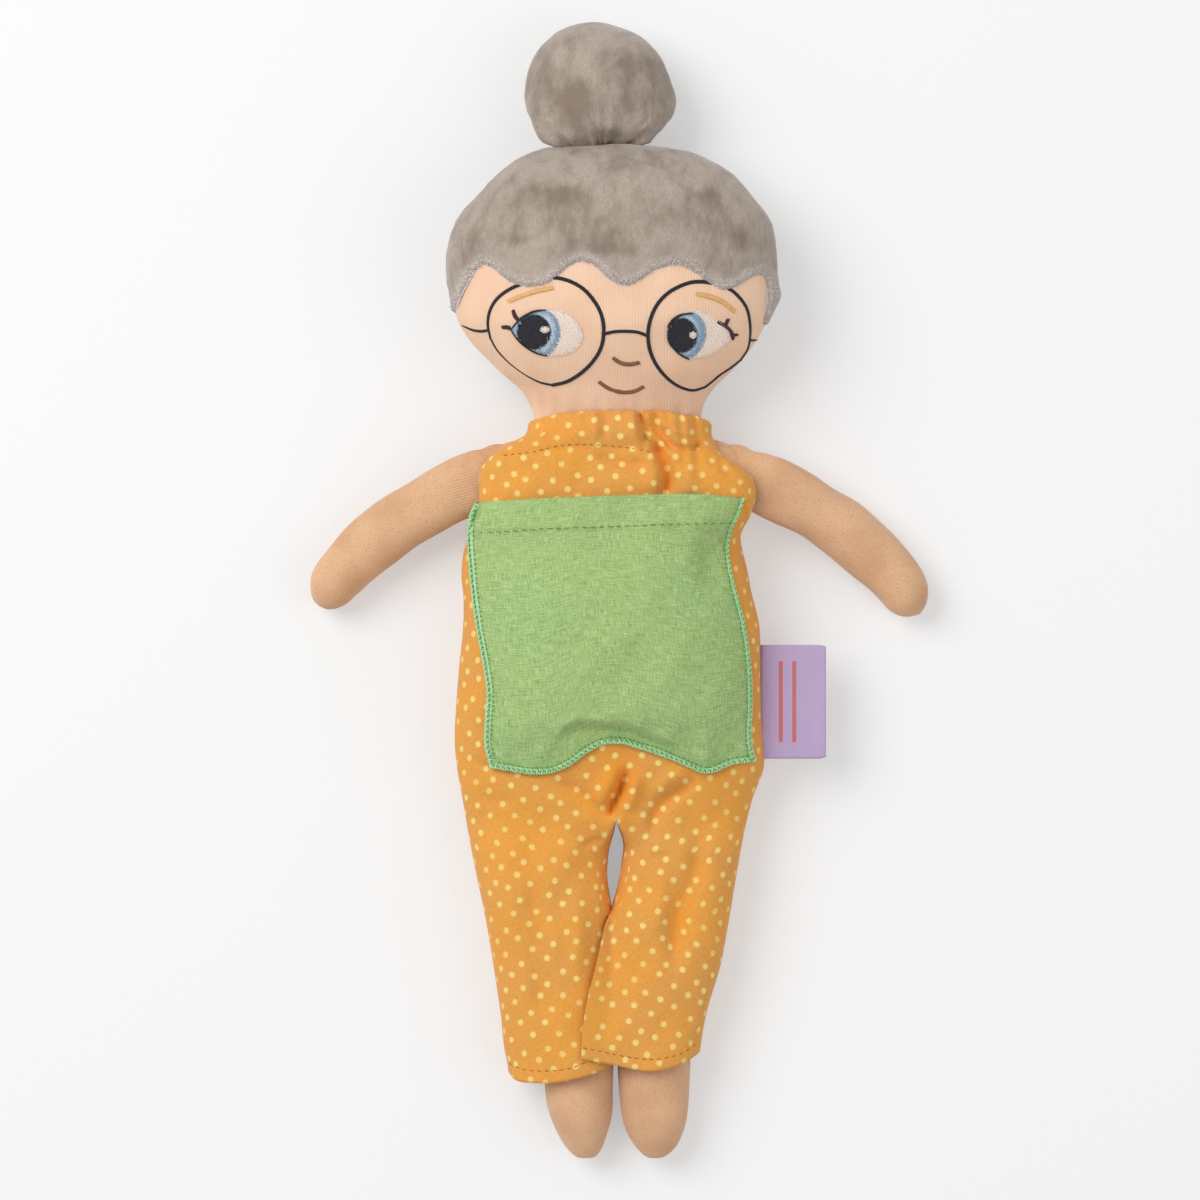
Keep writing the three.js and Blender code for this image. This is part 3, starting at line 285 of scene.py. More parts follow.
class Signal:
    """A shader socket that takes arithmetic."""

    def __init__(self, shade: "Shade", socket: bpy.types.NodeSocket) -> None:
        """Holds a socket and the material that it belongs to."""
        self.shade = shade
        self.socket = socket

    def _with(self, operation: str, first: "Signal | float", second: "Signal | float") -> "Signal":
        """Adds one Math node."""
        made = self.shade.node("ShaderNodeMath", {"operation": operation}, {0: first, 1: second})
        return Signal(self.shade, made.outputs[0])

    def __add__(self, other: "Signal | float") -> "Signal":
        """Adds."""
        return self._with("ADD", self, other)

    __radd__ = __add__

    def __mul__(self, other: "Signal | float") -> "Signal":
        """Multiplies."""
        return self._with("MULTIPLY", self, other)

    __rmul__ = __mul__

    def __sub__(self, other: "Signal | float") -> "Signal":
        """Subtracts."""
        return self._with("SUBTRACT", self, other)

    def __rsub__(self, other: "Signal | float") -> "Signal":
        """Is subtracted from a number."""
        return self._with("SUBTRACT", other, self)

    def wave(self, length: float) -> "Signal":
        """Swings between 0 and 1 once in each length, in metres."""
        return self._with("SINE", self * (2 * math.pi / length), 0.0) * 0.5 + 0.5

    def between(self, low: float, high: float) -> "Signal":
        """Rises smoothly from 0 to 1.

        Args:
            low: Where it starts to rise.
            high: Where it reaches 1.

        Returns:
            The share as a signal.
        """
        inputs = {"Value": self, "From Min": low, "From Max": high}
        made = self.shade.node("ShaderNodeMapRange", {"interpolation_type": "SMOOTHSTEP"}, inputs)
        return Signal(self.shade, made.outputs["Result"])


class Shade:
    """Builds one material out of nodes."""

    def __init__(self, name: str) -> None:
        """Starts an empty material with its shader.

        Args:
            name: The material's name.
        """
        self.material = bpy.data.materials.new(name)
        self.material.use_nodes = True
        self.tree = self.material.node_tree
        self.tree.nodes.clear()
        output = self.tree.nodes.new("ShaderNodeOutputMaterial")
        self.shader = self.tree.nodes.new("ShaderNodeBsdfPrincipled")
        self.tree.links.new(self.shader.outputs[0], output.inputs["Surface"])

    def node(self, kind: str, settings: dict | None = None, inputs: dict | None = None) -> bpy.types.Node:
        """Adds a node.

        Args:
            kind: The node's type.
            settings: Its own settings, such as an operation.
            inputs: Values or links for its sockets, by name or number.

        Returns:
            The node.
        """
        made = self.tree.nodes.new(kind)
        for key, value in (settings or {}).items():
            setattr(made, key, value)
        for key, value in (inputs or {}).items():
            self.feed(made.inputs[key], value)
        return made

    def feed(self, socket: bpy.types.NodeSocket, value: object) -> None:
        """Links a socket or sets its value.

        Args:
            socket: The input to set.
            value: A signal, a socket or a plain value.
        """
        value = value.socket if isinstance(value, Signal) else value
        if isinstance(value, bpy.types.NodeSocket):
            self.tree.links.new(value, socket)
        else:
            socket.default_value = value

    def object_place(self) -> bpy.types.NodeSocket:
        """Gives Object coordinates, in metres."""
        return self.node("ShaderNodeTexCoord").outputs["Object"]

    def cloth_place(self) -> bpy.types.NodeSocket:
        """Gives the piece's own cloth coordinates, in metres along its threads."""
        return self.node("ShaderNodeUVMap", {"uv_map": CLOTH_UV}).outputs[0]

    def attribute(self, name: str) -> Signal:
        """Reads a number that the mesh holds at its points."""
        made = self.node("ShaderNodeAttribute", {"attribute_name": name})
        return Signal(self, made.outputs["Fac"])

    def scaled(self, place: bpy.types.NodeSocket, scale: Sequence[float]) -> bpy.types.NodeSocket:
        """Stretches coordinates by a factor on each axis."""
        made = self.node("ShaderNodeVectorMath", {"operation": "MULTIPLY"}, {0: place, 1: scale})
        return made.outputs[0]

    def part(self, place: bpy.types.NodeSocket, axis: str) -> Signal:
        """Takes one axis of coordinates."""
        made = self.node("ShaderNodeSeparateXYZ", None, {0: place})
        return Signal(self, made.outputs[axis])

    def noise(
        self, place: bpy.types.NodeSocket, scale: float, detail: float = 2.0, rough: float = 0.5
    ) -> Signal:
        """Adds a noise texture.

        Args:
            place: The coordinates.
            scale: Features per metre.
            detail: Its octaves.
            rough: The weight of the finer ones.

        Returns:
            The noise from 0 to 1.
        """
        inputs = {"Vector": place, "Scale": scale, "Detail": detail, "Roughness": rough}
        return Signal(self, self.node("ShaderNodeTexNoise", None, inputs).outputs[0])

    def mix(self, factor: Signal | float, first: object, second: object) -> bpy.types.NodeSocket:
        """Mixes two colours.

        Args:
            factor: 0 for the first and 1 for the second.
            first: A colour or its socket.
            second: A colour or its socket.

        Returns:
            The mixed colour's socket.
        """
        made = self.node("ShaderNodeMix", {"data_type": "RGBA"}, {0: factor, 6: first, 7: second})
        return made.outputs[2]

    def bump(self, height: Signal, depth: float) -> None:
        """Turns a height into the shader's normal.

        Args:
            height: The height from 0 to 1.
            depth: What 1 stands for, in millimetres.
        """
        made = self.node("ShaderNodeBump", None, {"Strength": 1.0, "Distance": depth * MM, "Height": height})
        self.feed(self.shader.inputs["Normal"], made.outputs[0])

    def lighten_for_camera(self, share: float) -> None:
        """Mixes white into what the camera sees, so that shadows stay pale.

        Args:
            share: How much of it is white.
        """
        seen = Signal(self, self.node("ShaderNodeLightPath").outputs["Is Camera Ray"])
        white = self.node("ShaderNodeEmission", None, {"Color": WHITE, "Strength": 1.0})
        inputs = {0: seen * share, 1: self.shader.outputs[0], 2: white.outputs[0]}
        both = self.node("ShaderNodeMixShader", None, inputs)
        output = next(n for n in self.tree.nodes if n.type == "OUTPUT_MATERIAL")
        self.tree.links.new(both.outputs[0], output.inputs["Surface"])

    def finish(self, colour: object, roughness: object, **constants: object) -> bpy.types.Material:
        """Sets the shader and gives the material.

        Args:
            colour: The base colour or its socket.
            roughness: A number or a signal.
            constants: Other shader sockets by name, with _ for a space.

        Returns:
            The material.
        """
        self.feed(self.shader.inputs["Base Color"], colour)
        self.feed(self.shader.inputs["Roughness"], roughness)
        for key, value in constants.items():
            self.shader.inputs[key.replace("_", " ")].default_value = value
        return self.material


@dataclass(frozen=True)
class KnitSkin:
    """Fine ribbed cotton knit for the face, arms and legs."""

    name: str
    base: Colour
    deep: Colour
    rib: float = 0.00107
    ribbing: float = 0.3
    specks: float = 0.15
    straight: bool = True

    def build(self) -> bpy.types.Material:
        """Makes the material.

        Returns:
            The material.
        """
        s = Shade(self.name)
        place = s.object_place() if self.straight else s.cloth_place()
        ribs = s.part(place, "X").wave(self.rib)
        loops = s.noise(s.scaled(place, (1.0, 0.35, 1.0)), 2300, 1)
        blotch = s.noise(s.object_place(), 55, 3)
        fuzz = s.noise(s.object_place(), 1300, 2, 0.7)
        tone = s.mix(blotch.between(0.3, 0.75) * 0.45, self.base, self.deep)
        dark = ribs * (0.5 + loops) * self.ribbing + fuzz.between(0.52, 0.7) * self.specks
        tone = s.mix(dark, tone, self.deep)
        s.bump(ribs * 0.5 + loops * 0.4 + fuzz * 0.5, 0.16)
        return s.finish(tone, 0.92, Sheen_Weight=0.25, Sheen_Roughness=0.5, Specular_IOR_Level=0.15)


@dataclass(frozen=True)
class PlushPile:
    """Short velvety pile that is lighter or darker where it is brushed over."""

    light: Colour = srgb(186, 171, 158)
    dark: Colour = srgb(141, 126, 113)
    pale: Colour = srgb(216, 204, 194)

    def build(self) -> bpy.types.Material:
        """Makes the material.

        Returns:
            The material.
        """
        s = Shade("hair plush")
        place = s.object_place()
        nap = s.noise(place, 30, 4, 0.6)
        streaks = s.noise(s.scaled(place, (1.0, 0.4, 1.0)), 150, 4, 0.65)
        fibres = s.noise(s.scaled(place, (1.0, 0.5, 1.0)), 1500, 2, 0.7)
        lie = nap * 0.55 + streaks * 0.45 - s.attribute("nap") * 0.1
        tone = s.mix(lie.between(0.33, 0.58), self.dark, self.light)
        tone = s.mix(fibres.between(0.35, 0.7) * 0.36, tone, self.dark)
        edge = s.attribute("edge")
        speckle = s.noise(place, 1100, 2, 0.8).between(0.42, 0.6)
        tone = s.mix(edge * (0.35 + speckle * 0.65), tone, self.pale)
        s.bump(streaks * 0.5 + fibres * 0.7 + nap * 0.6 + edge * speckle * 0.6, 0.5)
        return s.finish(tone, 0.95, Sheen_Weight=0.45, Sheen_Roughness=0.4, Specular_IOR_Level=0.1)


@dataclass(frozen=True)
class DottedCotton:
    """Printed plain weave with small pale dots, with painted light in random paler patches and painted shade
    in its folds.
    """

    ground: Colour = srgb(239, 168, 74)
    # Painted light: the paler, less saturated colour of patches at random.
    lit_patch: Colour = srgb(227, 166, 92)
    dot: Colour = srgb(251, 230, 146)
    thread: Colour = srgb(208, 136, 54)
    # Painted shade: the deeper, more saturated orange of the folds and the crotch.
    crease_shade_tone: Colour = srgb(244, 150, 22)
    spacing: float = 0.0065
    radius: float = 0.00112
    slant: float = 0.6

    def build(self) -> bpy.types.Material:
        """Makes the material.

        Returns:
            The material.
        """
        s = Shade("dotted cotton")
        place = s.cloth_place()
        inputs = {"Vector": place, "Angle": self.slant}
        turned = s.node("ShaderNodeVectorRotate", {"rotation_type": "Z_AXIS"}, inputs)
        wobble = s.noise(place, 900, 2)
        inputs = {"Vector": turned.outputs[0], "Scale": 1 / self.spacing, "Randomness": 0.38}
        cells = s.node("ShaderNodeTexVoronoi", {"voronoi_dimensions": "2D"}, inputs)
        patches = s.noise(s.object_place(), 38, 3)
        away = Signal(s, cells.outputs["Distance"]) + wobble * 0.05
        rim = self.radius / self.spacing + 0.025
        dots = (1 - away.between(rim - 0.05, rim + 0.05)) * (0.72 + patches.between(0.3, 0.6) * 0.28)
        warp = s.noise(s.scaled(place, (1.0, 0.2, 1.0)), 2900, 2)
        weft = s.noise(s.scaled(place, (0.2, 1.0, 1.0)), 2900, 2)
        # Painted light: paler, less saturated patches at random.
        tone = s.mix(patches.between(0.35, 0.7) * 0.7, self.ground, self.lit_patch)
        tone = s.mix((warp * weft).between(0.14, 0.36) * 0.4, tone, self.thread)
        # Painted shade: a deeper, more saturated orange in the folds and near the crotch.
        tone = s.mix(s.attribute("fold_shade").between(0.0, 1.0) * 0.6, tone, self.crease_shade_tone)
        print_dot = s.mix((warp * weft).between(0.1, 0.4) * 0.4, self.dot, self.ground)
        tone = s.mix(dots * 0.92, tone, print_dot)
        s.bump(warp * 0.5 + weft * 0.5, 0.12)
        return s.finish(tone, 0.9, Sheen_Weight=0.15, Sheen_Roughness=0.5, Specular_IOR_Level=0.15)


@dataclass(frozen=True)
class SlubLinen:
    """Linen whose uneven threads show both ways."""

    light: Colour = srgb(193, 216, 156)
    base: Colour = srgb(166, 194, 122)
    dark: Colour = srgb(116, 148, 72)
    fresh: Colour = srgb(154, 196, 130)

    def build(self) -> bpy.types.Material:
        """Makes the material.

        Returns:
            The material.
        """
        s = Shade("pocket linen")
        place = s.cloth_place()
        grain = s.noise(place, 3200, 1) * 0.5
        warp = s.noise(s.scaled(place, (1.0, 0.1, 1.0)), 2600, 1, 0.6) * 0.6 + grain * 0.8
        weft = s.noise(s.scaled(place, (0.07, 1.0, 1.0)), 2600, 1, 0.6) * 0.6 + grain * 0.8
        slub = s.noise(s.scaled(place, (0.16, 1.0, 1.0)), 900, 1)
        patches = s.noise(s.object_place(), 26, 2)
        weave = warp * 0.5 + weft * 0.5
        tone = s.mix(patches.between(0.35, 0.65) * 0.4, self.base, self.fresh)
        tone = s.mix(weave.between(0.5, 0.59) * 0.85, tone, self.light)
        tone = s.mix((1 - weave.between(0.41, 0.5)) * 0.6, tone, self.dark)
        tone = s.mix(slub.between(0.55, 0.8) * 0.2, tone, self.light)
        s.bump(weave, 0.35)
        return s.finish(tone, 0.88, Sheen_Weight=0.12, Sheen_Roughness=0.5, Specular_IOR_Level=0.2)


@dataclass(frozen=True)
class WovenRibbon:
    """Lavender satin ribbon with fine ribs and two plain stripes."""

    base: Colour = srgb(196, 172, 208)
    dark: Colour = srgb(171, 147, 188)
    stripe: Colour = srgb(203, 98, 84)
    rib: float = 0.00055
    width: float = 0.0423
    stripes: tuple[float, float] = (0.0075, 0.0125)
    margin: float = 0.006

    def build(self) -> bpy.types.Material:
        """Makes the material.

        Returns:
            The material.
        """
        s = Shade("woven ribbon")
        place = s.cloth_place()
        across, along = s.part(place, "X"), s.part(place, "Y")
        ribs = across.wave(self.rib)
        picks = s.noise(s.scaled(place, (0.25, 1.0, 1.0)), 2400, 1)
        tone = s.mix(ribs * 0.3 + picks * 0.35, self.base, self.dark)
        for middle in self.stripes:
            near = (across - middle) * (across - middle)
            stripe = 1 - near.between(0.0000004, 0.0000007)
            far = self.width - self.margin
            ends = along.between(self.margin, self.margin + 0.0002) * (1 - along.between(far - 0.0002, far))
            tone = s.mix(stripe * ends * (0.75 + picks * 0.25), tone, self.stripe)
        s.bump(ribs * 0.6 + picks * 0.5, 0.1)
        return s.finish(tone, 0.55, Sheen_Weight=0.2, Specular_IOR_Level=0.35)


@dataclass(frozen=True)
class Thread:
    """Embroidery thread with a soft lustre."""

    name: str
    base: Colour
    shadow: Colour
    gloss: float = 0.55

    def build(self) -> bpy.types.Material:
        """Makes the material.

        Returns:
            The material.
        """
        s = Shade(self.name)
        place = s.object_place()
        twist = s.noise(place, 1900, 2, 0.6)
        tone = s.mix(twist.between(0.3, 0.7), self.shadow, self.base)
        s.bump(twist, 0.12)
        return s.finish(tone, 1 - self.gloss * 0.8, Sheen_Weight=0.15, Specular_IOR_Level=0.3)


@dataclass(frozen=True)
class RibbedElastic:
    """White elastic band with woven ribs."""

    base: Colour = srgb(240, 238, 230)
    dark: Colour = srgb(205, 202, 192)
    rib: float = 0.0012

    def build(self) -> bpy.types.Material:
        """Makes the material.

        Returns:
            The material.
        """
        s = Shade("ribbed elastic")
        ribs = s.part(s.object_place(), "Y").wave(self.rib)
        s.bump(ribs, 0.2)
        return s.finish(s.mix(ribs, self.dark, self.base), 0.7, Sheen_Weight=0.1)


FINISHES: dict[str, object] = {
    "face": KnitSkin("face knit", srgb(249, 212, 181), srgb(232, 184, 153), ribbing=0.16),
    "limb": KnitSkin(
        "limb knit", srgb(232, 187, 147), srgb(190, 138, 100), ribbing=0.12, specks=0.5, straight=False
    ),
    "plush": PlushPile(),
    "cotton": DottedCotton(),
    "linen": SlubLinen(),
    "ribbon": WovenRibbon(),
    "elastic": RibbedElastic(),
    "black": Thread("black thread", srgb(46, 46, 56), srgb(24, 24, 32)),
    "brown": Thread("brown thread", srgb(160, 114, 82), srgb(120, 80, 56)),
    "white": Thread("white thread", srgb(252, 238, 226), srgb(236, 214, 198)),
    "lash": Thread("lash thread", srgb(92, 48, 52), srgb(58, 28, 34)),
    "gold": Thread("brow thread", srgb(242, 200, 138), srgb(222, 170, 104)),
    "blue": Thread("pale blue thread", srgb(203, 219, 229), srgb(172, 195, 211)),
    "rim": Thread("blue rim thread", srgb(158, 181, 204), srgb(122, 149, 180)),
    "mint": Thread("mint thread", srgb(208, 240, 194), srgb(142, 204, 138), 0.3),
    "green": Thread("green thread", srgb(88, 158, 84), srgb(58, 118, 56), 0.3),
    "rust": Thread("rust thread", srgb(176, 100, 40), srgb(140, 76, 30)),
    "plush edge": Thread("plush edge thread", srgb(222, 212, 206), srgb(186, 172, 162), 0.2),
    "edge line": Thread("edge backing", srgb(226, 216, 228), srgb(206, 192, 208), 0.2),
}
_made: dict[str, bpy.types.Material] = {}


def material(name: str) -> bpy.types.Material:
    """Gives a finish's material, and makes it once.

    Args:
        name: The finish's name.

    Returns:
        The material.
    """
    if name not in _made:
        _made[name] = FINISHES[name].build()
    return _made[name]


def grid_faces(rows: int, columns: int, first: int = 0) -> list[tuple[int, int, int, int]]:
    """Lists the faces of a grid of points.

    Args:
        rows: Its rows of points.
        columns: The points in each row.
        first: The index of its first point.

    Returns:
        The faces, each four indices.
    """
    corner = (np.arange(rows - 1)[:, None] * columns + np.arange(columns - 1)).ravel() + first
    return np.stack([corner, corner + 1, corner + columns + 1, corner + columns], 1).tolist()


def piece_from(
    name: str,
    points: np.ndarray,
    faces: Sequence[Sequence[int]],
    finish: str,
    cloth: np.ndarray | None = None,
    attributes: dict[str, np.ndarray] | None = None,
    weld: bool = True,
) -> bpy.types.Object:
    """Makes a mesh object.

    Args:
        name: The piece's name.
        points: Its points in millimetres.
        faces: Its faces as indices.
        finish: The finish that it starts with.
        cloth: Places on the flat cloth in millimetres, one for each point.
        attributes: Numbers at each point, by name.
        weld: Whether points at one place are joined and the faces turned outwards.

    Returns:
        The object, at the origin.
    """
    mesh = bpy.data.meshes.new(name)
    mesh.from_pydata((np.asarray(points) * MM).tolist(), [], faces)
    if cloth is not None:
        corners = np.empty(len(mesh.loops), np.int32)
        mesh.loops.foreach_get("vertex_index", corners)
        layer = mesh.uv_layers.new(name=CLOTH_UV)
        layer.data.foreach_set("uv", (np.asarray(cloth)[corners] * MM).astype(np.float32).ravel())
    for key, values in (attributes or {}).items():
        kind, slot = ("FLOAT", "value") if np.ndim(values) == 1 else ("FLOAT_VECTOR", "vector")
        made = mesh.attributes.new(key, kind, "POINT")
        made.data.foreach_set(slot, np.asarray(values, np.float32).ravel())
    if weld:
        shell = bmesh.new()
        shell.from_mesh(mesh)
        bmesh.ops.remove_doubles(shell, verts=shell.verts, dist=0.00002)
        bmesh.ops.dissolve_degenerate(shell, edges=shell.edges, dist=0.000001)
        bmesh.ops.recalc_face_normals(shell, faces=shell.faces)
        shell.to_mesh(mesh)
        shell.free()
    mesh.shade_smooth()
    mesh.materials.append(material(finish))
    made = bpy.data.objects.new(name, mesh)
    bpy.context.scene.collection.objects.link(made)
    return made


def places_of(mesh: bpy.types.Mesh) -> np.ndarray:
    """Reads a mesh's points.

    Args:
        mesh: The mesh.

    Returns:
        Its points in millimetres.
    """
    flat = np.empty(len(mesh.vertices) * 3, np.float32)
    mesh.vertices.foreach_get("co", flat)
    return flat.reshape(-1, 3).astype(float) / MM


def settle(piece: bpy.types.Object) -> bpy.types.Object:
    """Turns a piece's modifiers into its mesh.

    Args:
        piece: The piece.

    Returns:
        The piece.
    """
    graph = bpy.context.evaluated_depsgraph_get()
    evaluated = piece.evaluated_get(graph)
    mesh = bpy.data.meshes.new_from_object(evaluated, preserve_all_data_layers=True, depsgraph=graph)
    piece.modifiers.clear()
    old = piece.data
    piece.data = mesh
    bpy.data.meshes.remove(old)
    return piece


def thicken(piece: bpy.types.Object, thickness: float) -> bpy.types.Object:
    """Gives a sheet of cloth its thickness, behind its faces.

    Args:
        piece: The sheet.
        thickness: Its thickness in millimetres.

    Returns:
        The piece.
    """
    wall = piece.modifiers.new("cloth", "SOLIDIFY")
    wall.thickness = thickness * MM
    wall.offset = -1.0
    wall.use_even_offset = False
    return settle(piece)


def dressed(
    piece: bpy.types.Object,
    ride: str | None = None,
    blend: tuple[str, str, Sequence[float], Sequence[float]] | None = None,
    replaces: Sequence[str] = (),
) -> bpy.types.Object:
    """Attaches a finished piece to the frame, or only fixes it in place when it is given a blend.

    Args:
        piece: The piece, in place.
        ride: The body that it rides on.
        blend: Two bodies and two points in millimetres, which are not used.
        replaces: The frame's nodes that it stands for.

    Returns:
        The piece.
    """
    if blend:
        first, second, start, end = blend
        [v * MM for v in start]
        [v * MM for v in end]
        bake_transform(piece)
    else:
        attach(piece, ride)
    if replaces:
        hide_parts(*replaces)
    LOG.info("%s: %d faces", piece.name, len(piece.data.polygons))
    return piece


class Form:
    """A stuffed form of oval rings. Each station is centre X, Y, Z, half width and half thickness."""

    def __init__(
        self, stations: Sequence[Sequence[float]], fullness: float = 2.2, count: int = 160, level: bool = True
    ) -> None:
        """Draws smooth stations through a few.

        Args:
            stations: The stations from one end to the other.
            fullness: 2 for an oval ring, and more for a boxier one.
            count: How many stations are kept.
            level: Whether each ring lies straight across the doll instead of across the form's own line.
        """
        run = smooth_run(stations, count)
        self.centre = run[:, :3]
        self.width = np.maximum(run[:, 3], 0)
        self.thick = np.maximum(run[:, 4], 0)
        self.power = 2 / fullness
        heading = np.gradient(self.centre, axis=0)
        heading[:, 2] = 0
        if level:
            heading[:, 0] = 0
        heading = unit(heading)
        self.across = np.stack([heading[:, 1], -heading[:, 0], np.zeros(count)], 1)
        self.share = np.linspace(0, 1, count)

    def part(self, values: np.ndarray, u: np.ndarray) -> np.ndarray:
        """Reads station values at shares of the way along.

        Args:
            values: One value or row for each station.
            u: The shares.

        Returns:
            The values there.
        """
        if values.ndim == 1:
            return np.interp(u, self.share, values)
        return np.stack([np.interp(u, self.share, values[:, k]) for k in range(values.shape[1])], -1)

    def at(self, u: np.ndarray, angle: np.ndarray) -> np.ndarray:
        """Gives points of the surface.

        Args:
            u: Shares of the way along.
            angle: Angles round the ring, of the same shape, with the front from 0 to pi.

        Returns:
            The points in millimetres.
        """
        c = signed_power(np.cos(angle), self.power)
        s = signed_power(np.sin(angle), self.power)
        reach = (self.part(self.width, u) * c)[..., None]
        place = self.part(self.centre, u) + self.part(self.across, u) * reach
        place[..., 2] += self.part(self.thick, u) * s
        return place

    def normal(self, u: np.ndarray, angle: np.ndarray) -> np.ndarray:
        """Gives outward directions of the surface at the same places.

        Args:
            u: Shares of the way along.
            angle: Angles round the ring.

        Returns:
            The directions, each 1 long.
        """
        step = 0.004
        down = self.at(np.clip(u + step, 0, 1), angle) - self.at(np.clip(u - step, 0, 1), angle)
        round_it = self.at(u, angle + step) - self.at(u, angle - step)
        n = np.cross(down, round_it)
        n /= np.maximum(np.linalg.norm(n, axis=-1), 1e-9)[..., None]
        outward = self.at(u, angle) - self.part(self.centre, u)
        flip = np.where(np.sum(n * outward, -1) < 0, -1.0, 1.0)
        return n * flip[..., None]

    def shell(
        self,
        name: str,
        finish: str,
        rows: int,
        columns: int,
        offset: Callable[[np.ndarray, np.ndarray, np.ndarray], np.ndarray] | None = None,
    ) -> bpy.types.Object:
        """Makes the closed form as a piece.

        Args:
            name: The piece's name.
            finish: Its finish.
            rows: Rings along it.
            columns: Points round each ring.
            offset: The lift in millimetres for shares, angles and points.

        Returns:
            The object.
        """
        turns = np.linspace(0, 2 * math.pi, columns + 1)
        turns[-1] = 0.0
        u, angle = np.meshgrid(np.linspace(0, 1, rows), turns, indexing="ij")
        place = self.at(u, angle)
        if offset is not None:
            place = place + self.normal(u, angle) * offset(u, angle, place)[..., None]
        place[..., 2] = above_floor(place[..., 2])
        for end in (0, -1):
            place[end] = place[end].mean(axis=0)
        steps = np.linalg.norm(np.diff(place, axis=1), axis=2)
        around = np.concatenate([np.zeros((rows, 1)), np.cumsum(steps, axis=1)], 1)
        cloth = np.stack([around, u * length_of(self.centre)], -1).reshape(-1, 2)
        return piece_from(name, place.reshape(-1, 3), grid_faces(rows, columns + 1), finish, cloth)


def stitch_tree() -> bpy.types.GeometryNodeTree:
    """Builds the tree that lays one thread stitch at each marked point.

    Returns:
        The node tree, with inputs for the stitch's sizes, its seed and its material.
    """
    tree = bpy.data.node_groups.new("thread stitches", "GeometryNodeTree")
    face = tree.interface
    face.new_socket(name="Geometry", in_out="INPUT", socket_type="NodeSocketGeometry")
    for name, kind, value in (
        ("Thread Width", "NodeSocketFloat", 0.0004),
        ("Thread Height", "NodeSocketFloat", 0.0003),
        ("Unevenness", "NodeSocketFloat", 0.1),
        ("Seed", "NodeSocketInt", 1),
    ):
        face.new_socket(name=name, in_out="INPUT", socket_type=kind).default_value = value
    face.new_socket(name="Thread", in_out="INPUT", socket_type="NodeSocketMaterial")
    face.new_socket(name="Geometry", in_out="OUTPUT", socket_type="NodeSocketGeometry")

    def add(kind: str, settings: dict | None = None, inputs: dict | None = None) -> bpy.types.Node:
        """Adds a node.

        Args:
            kind: Its type.
            settings: Its properties.
            inputs: What its inputs are linked to or set to, by name or number.

        Returns:
            The node.
        """
        made = tree.nodes.new(kind)
        for key, value in (settings or {}).items():
            setattr(made, key, value)
        for key, value in (inputs or {}).items():
            if isinstance(value, bpy.types.NodeSocket):
                tree.links.new(value, made.inputs[key])
            else:
                made.inputs[key].default_value = value
        return made

    def attribute(name: str, kind: str) -> bpy.types.NodeSocket:
        """Reads an attribute of the points."""
        made = add("GeometryNodeInputNamedAttribute", {"data_type": kind}, {"Name": name})
        return made.outputs["Attribute"]

    start, end = add("NodeGroupInput"), add("NodeGroupOutput")
    given, marked = start.outputs, attribute("stitch", "FLOAT")
    bead = add("GeometryNodeMeshUVSphere", None, {"Segments": 6, "Rings": 5, "Radius": 0.5})
    turn = add("FunctionNodeAxesToRotation", {"primary_axis": "Z", "secondary_axis": "X"},
               {0: attribute("up", "FLOAT_VECTOR"), 1: attribute("along", "FLOAT_VECTOR")})
    vary = add("FunctionNodeRandomValue", {"data_type": "FLOAT"}, {"Seed": given["Seed"]})
    numbers = [socket for socket in vary.inputs if socket.type == "VALUE"]
    for how, target in zip(("SUBTRACT", "ADD"), numbers):
        bound = add("ShaderNodeMath", {"operation": how}, {0: 1.0, 1: given["Unevenness"]})
        tree.links.new(bound.outputs[0], target)
    chosen = [socket for socket in vary.outputs if socket.type == "VALUE"][0]
    reach = add("ShaderNodeMath", {"operation": "MULTIPLY"}, {0: attribute("reach", "FLOAT"), 1: chosen})
    size = add("ShaderNodeCombineXYZ", None, {
        "X": reach.outputs[0], "Y": given["Thread Width"], "Z": given["Thread Height"]})
    lay = add("GeometryNodeInstanceOnPoints", None, {
        "Points": given["Geometry"], "Selection": marked, "Instance": bead.outputs["Mesh"],
        "Rotation": turn.outputs[0], "Scale": size.outputs[0]})
    cut = add("GeometryNodeDeleteGeometry", {"domain": "POINT"}, {
        "Geometry": given["Geometry"], "Selection": marked})
    join = add("GeometryNodeJoinGeometry", None, {0: lay.outputs["Instances"]})
    tree.links.new(cut.outputs[0], join.inputs[0])
    real = add("GeometryNodeRealizeInstances", None, {0: join.outputs[0]})
    smooth = add("GeometryNodeSetShadeSmooth", None, {0: real.outputs[0]})
    paint = add("GeometryNodeSetMaterial", None, {"Geometry": smooth.outputs[0], "Material": given["Thread"]})
    tree.links.new(paint.outputs[0], end.inputs["Geometry"])
    return tree


